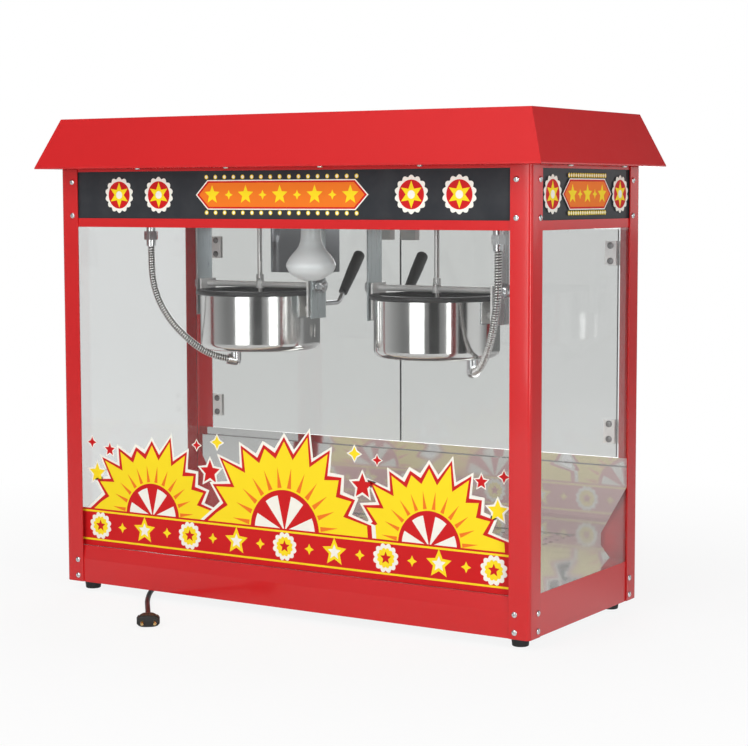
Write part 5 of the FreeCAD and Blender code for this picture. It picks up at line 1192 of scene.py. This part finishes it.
class POPCORN_OT_sign_print(bpy.types.Operator):
    """Print the ornaments on the three black signs"""

    bl_idname = "popcorn.sign_print"
    bl_label = "Sign print"

    def execute(self, context):
        sizes = context.scene.popcorn_print
        low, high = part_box("sign_panels")
        clear = 0.00004
        front = Print(lambda u, v, rise: (u, low[1] - clear - rise, v), sizes.film)
        right = Print(lambda u, v, rise: (high[0] + clear + rise, u, v), sizes.film)
        left = Print(lambda u, v, rise: (low[0] - clear - rise, -u, v), sizes.film)
        self.ornament(front, 0.152, 0.392, (0.232, 0.312))
        for page in (left, right):
            self.ornament(page, 0.074, 0.142, (0.112,))
        front.pieces("front_sign")
        left.pieces("left_sign")
        right.pieces("right_sign")
        return {"FINISHED"}

    def ornament(self, page, half, edge, flanks):
        """A pointed cartouche with stars in a row of bulbs, and a motif at each flank."""
        centre = 0.648
        tall = 0.0185
        for ink, layer, grow in (("print_cream", 0, 0.0042), ("print_red", 1, 0.0026), ("print_orange", 2, 0.0)):
            reach, rise = half + grow * 1.6, tall + grow
            page.shape(ink, layer, [(-reach, centre), (-reach + rise, centre - rise), (reach - rise, centre - rise),
                                    (reach, centre), (reach - rise, centre + rise), (-reach + rise, centre + rise)])
        count = max(3, round(half / 0.019) // 2 * 2 + 1)
        for i in range(count):
            u = (i - (count - 1) / 2) * (2 * half - 0.050) / (count - 1)
            size = 0.0150 if i % 2 == 0 else 0.0075
            page.shape("print_yellow", 3, star(u, centre, size, size * 0.44, 5 if i % 2 == 0 else 4))
        for i in range(-8, 9):
            u = i * (half - 0.014) / 8
            for v in (centre - tall - 0.0088, centre + tall + 0.0088):
                page.shape("print_yellow", 0, disc(u, v, 0.0034, 20))
                page.shape("print_cream", 1, disc(u, v, 0.0021, 16))
        for u in [s * f for f in flanks for s in (-1, 1)]:
            page.shape("print_cream", 0, rosette(u, centre, 0.0285, 14, 0.14))
            page.shape("print_red", 1, disc(u, centre, 0.0215))
            page.shape("print_yellow", 2, star(u, centre, 0.0200, 0.0095, 6))
            page.shape("print_cream", 3, disc(u, centre, 0.0062, 24))


class POPCORN_OT_stage(bpy.types.Operator):
    """Set the floor, the studio light and the camera"""

    bl_idname = "popcorn.stage"
    bl_label = "Stage"

    def execute(self, context):
        settings = context.scene.popcorn_stage
        scene = context.scene
        scene.view_settings.view_transform = "Standard"
        self.camera(scene, settings)
        self.world(scene, settings)
        self.floor(scene, settings)
        self.softbox(scene, "key_softbox", -92, 2.7, (1.25, 2.3), 1.27, 29)
        self.softbox(scene, "side_softbox", -32, 2.7, (0.6, 2.3), 1.27, 31)
        self.softbox(scene, "edge_softbox", 40, 2.9, (1.2, 1.6), 1.30, 3.5)
        self.softbox(scene, "top_softbox", -88, 1.75, (1.8, 1.2), 2.80, 25, 50)
        self.softbox(scene, "left_softbox", -135, 2.0, (2.0, 1.3), 2.60, 4, 45)
        self.softbox(scene, "back_softbox", 114, 2.8, (2.2, 1.6), 1.35, 34)
        self.card("dark_front", -62, 3.7, (1.15, 2.4))
        self.card("dark_side", -12, 2.6, (0.75, 2.0))
        return {"FINISHED"}

    def camera(self, scene, settings):
        """The photographed view."""
        data = bpy.data.cameras.new("camera")
        data.sensor_fit = "HORIZONTAL"
        data.sensor_width = 36.0
        data.lens = settings.lens
        data.clip_end = 200.0
        view = bpy.data.objects.new("camera", data)
        scene.collection.objects.link(view)
        yaw, pitch, roll = settings.yaw, settings.pitch, settings.roll
        ahead = Vector((math.sin(yaw) * math.cos(pitch), math.cos(yaw) * math.cos(pitch), -math.sin(pitch)))
        right = Vector((math.cos(yaw), -math.sin(yaw), 0))
        up = right.cross(ahead)
        level = Matrix((right * math.cos(roll) + up * math.sin(roll), up * math.cos(roll) - right * math.sin(roll),
                        -ahead)).transposed().to_4x4()
        level.translation = Vector(settings.place)
        view.matrix_world = level
        scene.camera = view

    def world(self, scene, settings):
        """White backdrop behind the machine and a dimmer room in front, white where it is seen directly."""
        world = bpy.data.worlds.new("studio")
        world.use_nodes = True
        tree = world.node_tree
        tree.nodes.clear()
        ray = add(tree, "ShaderNodeLightPath").outputs
        seen = sum_up(tree, "MAXIMUM", ray["Is Camera Ray"], ray["Is Transmission Ray"])
        way = add(tree, "ShaderNodeTexCoord").outputs["Generated"]
        heading = add(tree, "ShaderNodeSeparateXYZ", {0: way}).outputs
        level = spread(tree, heading[1], -0.15, 0.45, settings.room, settings.backdrop)
        light = spread(tree, heading[2], 0.04, 0.28, level, settings.ceiling)
        strength = sum_up(tree, "MAXIMUM", light, seen)
        back = add(tree, "ShaderNodeBackground", {"Color": (1, 1, 1, 1), "Strength": strength})
        add(tree, "ShaderNodeOutputWorld", {"Surface": back.outputs[0]})
        scene.world = world

    def floor(self, scene, settings):
        """Pale floor that keeps the shadow and runs into the white background."""
        tree, shader = surface("studio_floor", Roughness=0.9, Specular_IOR_Level=0.1)
        grain = spread(tree, noise(tree, 3.0, detail=2.0), 0.3, 0.7, 0.98, 1.0)
        grey = add(tree, "ShaderNodeCombineColor", {0: grain, 1: grain, 2: grain}).outputs[0]
        tree.links.new(blend_colour(tree, 1.0, colour(settings.floor), grey, "MULTIPLY"), shader.inputs["Base Color"])
        ray = add(tree, "ShaderNodeLightPath").outputs
        seen = sum_up(tree, "MAXIMUM", ray["Is Camera Ray"], ray["Is Transmission Ray"])
        where = add(tree, "ShaderNodeTexCoord").outputs["Object"]
        away = add(tree, "ShaderNodeVectorMath", {0: where}, operation="LENGTH").outputs["Value"]
        share = sum_up(tree, "MULTIPLY", seen, spread(tree, away, 0.5, 1.5, 0.86, 1.0))
        mirrored = sum_up(tree, "SUBTRACT", ray["Is Glossy Ray"], ray["Is Transmission Ray"], clamp=True)
        aside = sum_up(tree, "DIVIDE", add(tree, "ShaderNodeSeparateXYZ", {0: where}).outputs[1], away)
        beside = sum_up(tree, "MULTIPLY", spread(tree, aside, -0.85, 0.0, 0.0, 0.75),
                        spread(tree, aside, 0.35, 0.65, 1.0, 0.0))
        share = sum_up(tree, "MAXIMUM", share, sum_up(tree, "MULTIPLY", mirrored, beside))
        white = add(tree, "ShaderNodeEmission", {"Color": (1, 1, 1, 1), "Strength": 1.0})
        choice = add(tree, "ShaderNodeMixShader", {0: share, 1: shader.outputs[0], 2: white.outputs[0]})
        tree.links.new(choice.outputs[0], tree.nodes["Material Output"].inputs["Surface"])
        bm = bmesh.new()
        reach = 30.0
        corners = [bm.verts.new((x, y, -0.0004)) for x, y in ((-reach, -reach), (reach, -reach), (reach, reach),
                                                              (-reach, reach))]
        bm.faces.new(corners)
        finish_mesh(bm, "floor", "studio_floor")

    def around(self, bearing, distance, height):
        """A place round the machine, by its bearing from the +X axis."""
        angle = math.radians(bearing)
        return Vector((distance * math.cos(angle), distance * math.sin(angle), height))

    def softbox(self, scene, name, bearing, distance, size, height, power, tilt=0):
        """A softbox that faces the machine, upright or tilted down."""
        data = bpy.data.lights.new(name, "AREA")
        data.shape = "RECTANGLE"
        data.size, data.size_y = size
        data.energy = power
        made = bpy.data.objects.new(name, data)
        scene.collection.objects.link(made)
        place = self.around(bearing, distance, height)
        level = Vector((place.x, place.y, 0)).normalized()
        made.matrix_world = looking(level + Vector((0, 0, math.tan(math.radians(tilt)))), place)
        made.visible_camera = False
        made.visible_transmission = False

    def card(self, name, bearing, distance, size):
        """A black card that the polished kettles reflect."""
        if "studio_black" not in MATERIALS:
            tree, shader = surface("studio_black", Roughness=0.9, Specular_IOR_Level=0.1)
            felt = spread(tree, noise(tree, 40.0, detail=3.0), 0.3, 0.7, 0.010, 0.016)
            tree.links.new(add(tree, "ShaderNodeCombineColor", {0: felt, 1: felt, 2: felt}).outputs[0],
                           shader.inputs["Base Color"])
        place = self.around(bearing, distance, 0)
        across = Vector((-place.y, place.x, 0)).normalized() * size[0] / 2
        bm = bmesh.new()
        corners = (place - across, place + across, place + across + Vector((0, 0, size[1])),
                   place - across + Vector((0, 0, size[1])))
        bm.faces.new([bm.verts.new(corner) for corner in corners])
        made = finish_mesh(bm, name, "studio_black")
        made.visible_camera = False
        made.visible_transmission = False
        made.visible_shadow = False
        made.visible_diffuse = False


class POPCORN_PT_panel(bpy.types.Panel):
    """Sizes, colours and steps of the popcorn machine"""

    bl_idname = "POPCORN_PT_panel"
    bl_label = "Popcorn Machine"
    bl_space_type = "VIEW_3D"
    bl_region_type = "UI"
    bl_category = "Popcorn"

    def draw(self, context):
        layout = self.layout
        for group in SETTINGS:
            holder = getattr(context.scene, group)
            box = layout.box()
            for key in holder.__annotations__:
                box.prop(holder, key)
        for step in STEPS:
            layout.operator(step.bl_idname)


SETTINGS = {
    "popcorn_finish": FinishSettings,
    "popcorn_leads": LeadSettings,
    "popcorn_print": PrintSettings,
    "popcorn_stage": StageSettings,
}
STEPS = (
    POPCORN_OT_finishes,
    POPCORN_OT_stage,
    POPCORN_OT_mains_lead,
    POPCORN_OT_conduits,
    POPCORN_OT_crossbar_nuts,
    POPCORN_OT_hinge_bolts,
    POPCORN_OT_posts,
    POPCORN_OT_screws,
    POPCORN_OT_pane_print,
    POPCORN_OT_sign_print,
)
CLASSES = (*SETTINGS.values(), *STEPS, POPCORN_PT_panel)


def register():
    """Add the settings, the steps and the panel."""
    for item in CLASSES:
        bpy.utils.register_class(item)
    for name, group in SETTINGS.items():
        setattr(bpy.types.Scene, name, PointerProperty(type=group))


def unregister():
    """Take the panel, the steps and the settings away."""
    for name in SETTINGS:
        delattr(bpy.types.Scene, name)
    for item in reversed(CLASSES):
        bpy.utils.unregister_class(item)


def main():
    """Build everything in order."""
    register()
    for step in STEPS:
        group, name = step.bl_idname.split(".")
        getattr(getattr(bpy.ops, group), name)()


if __name__ == "__main__":
    main()
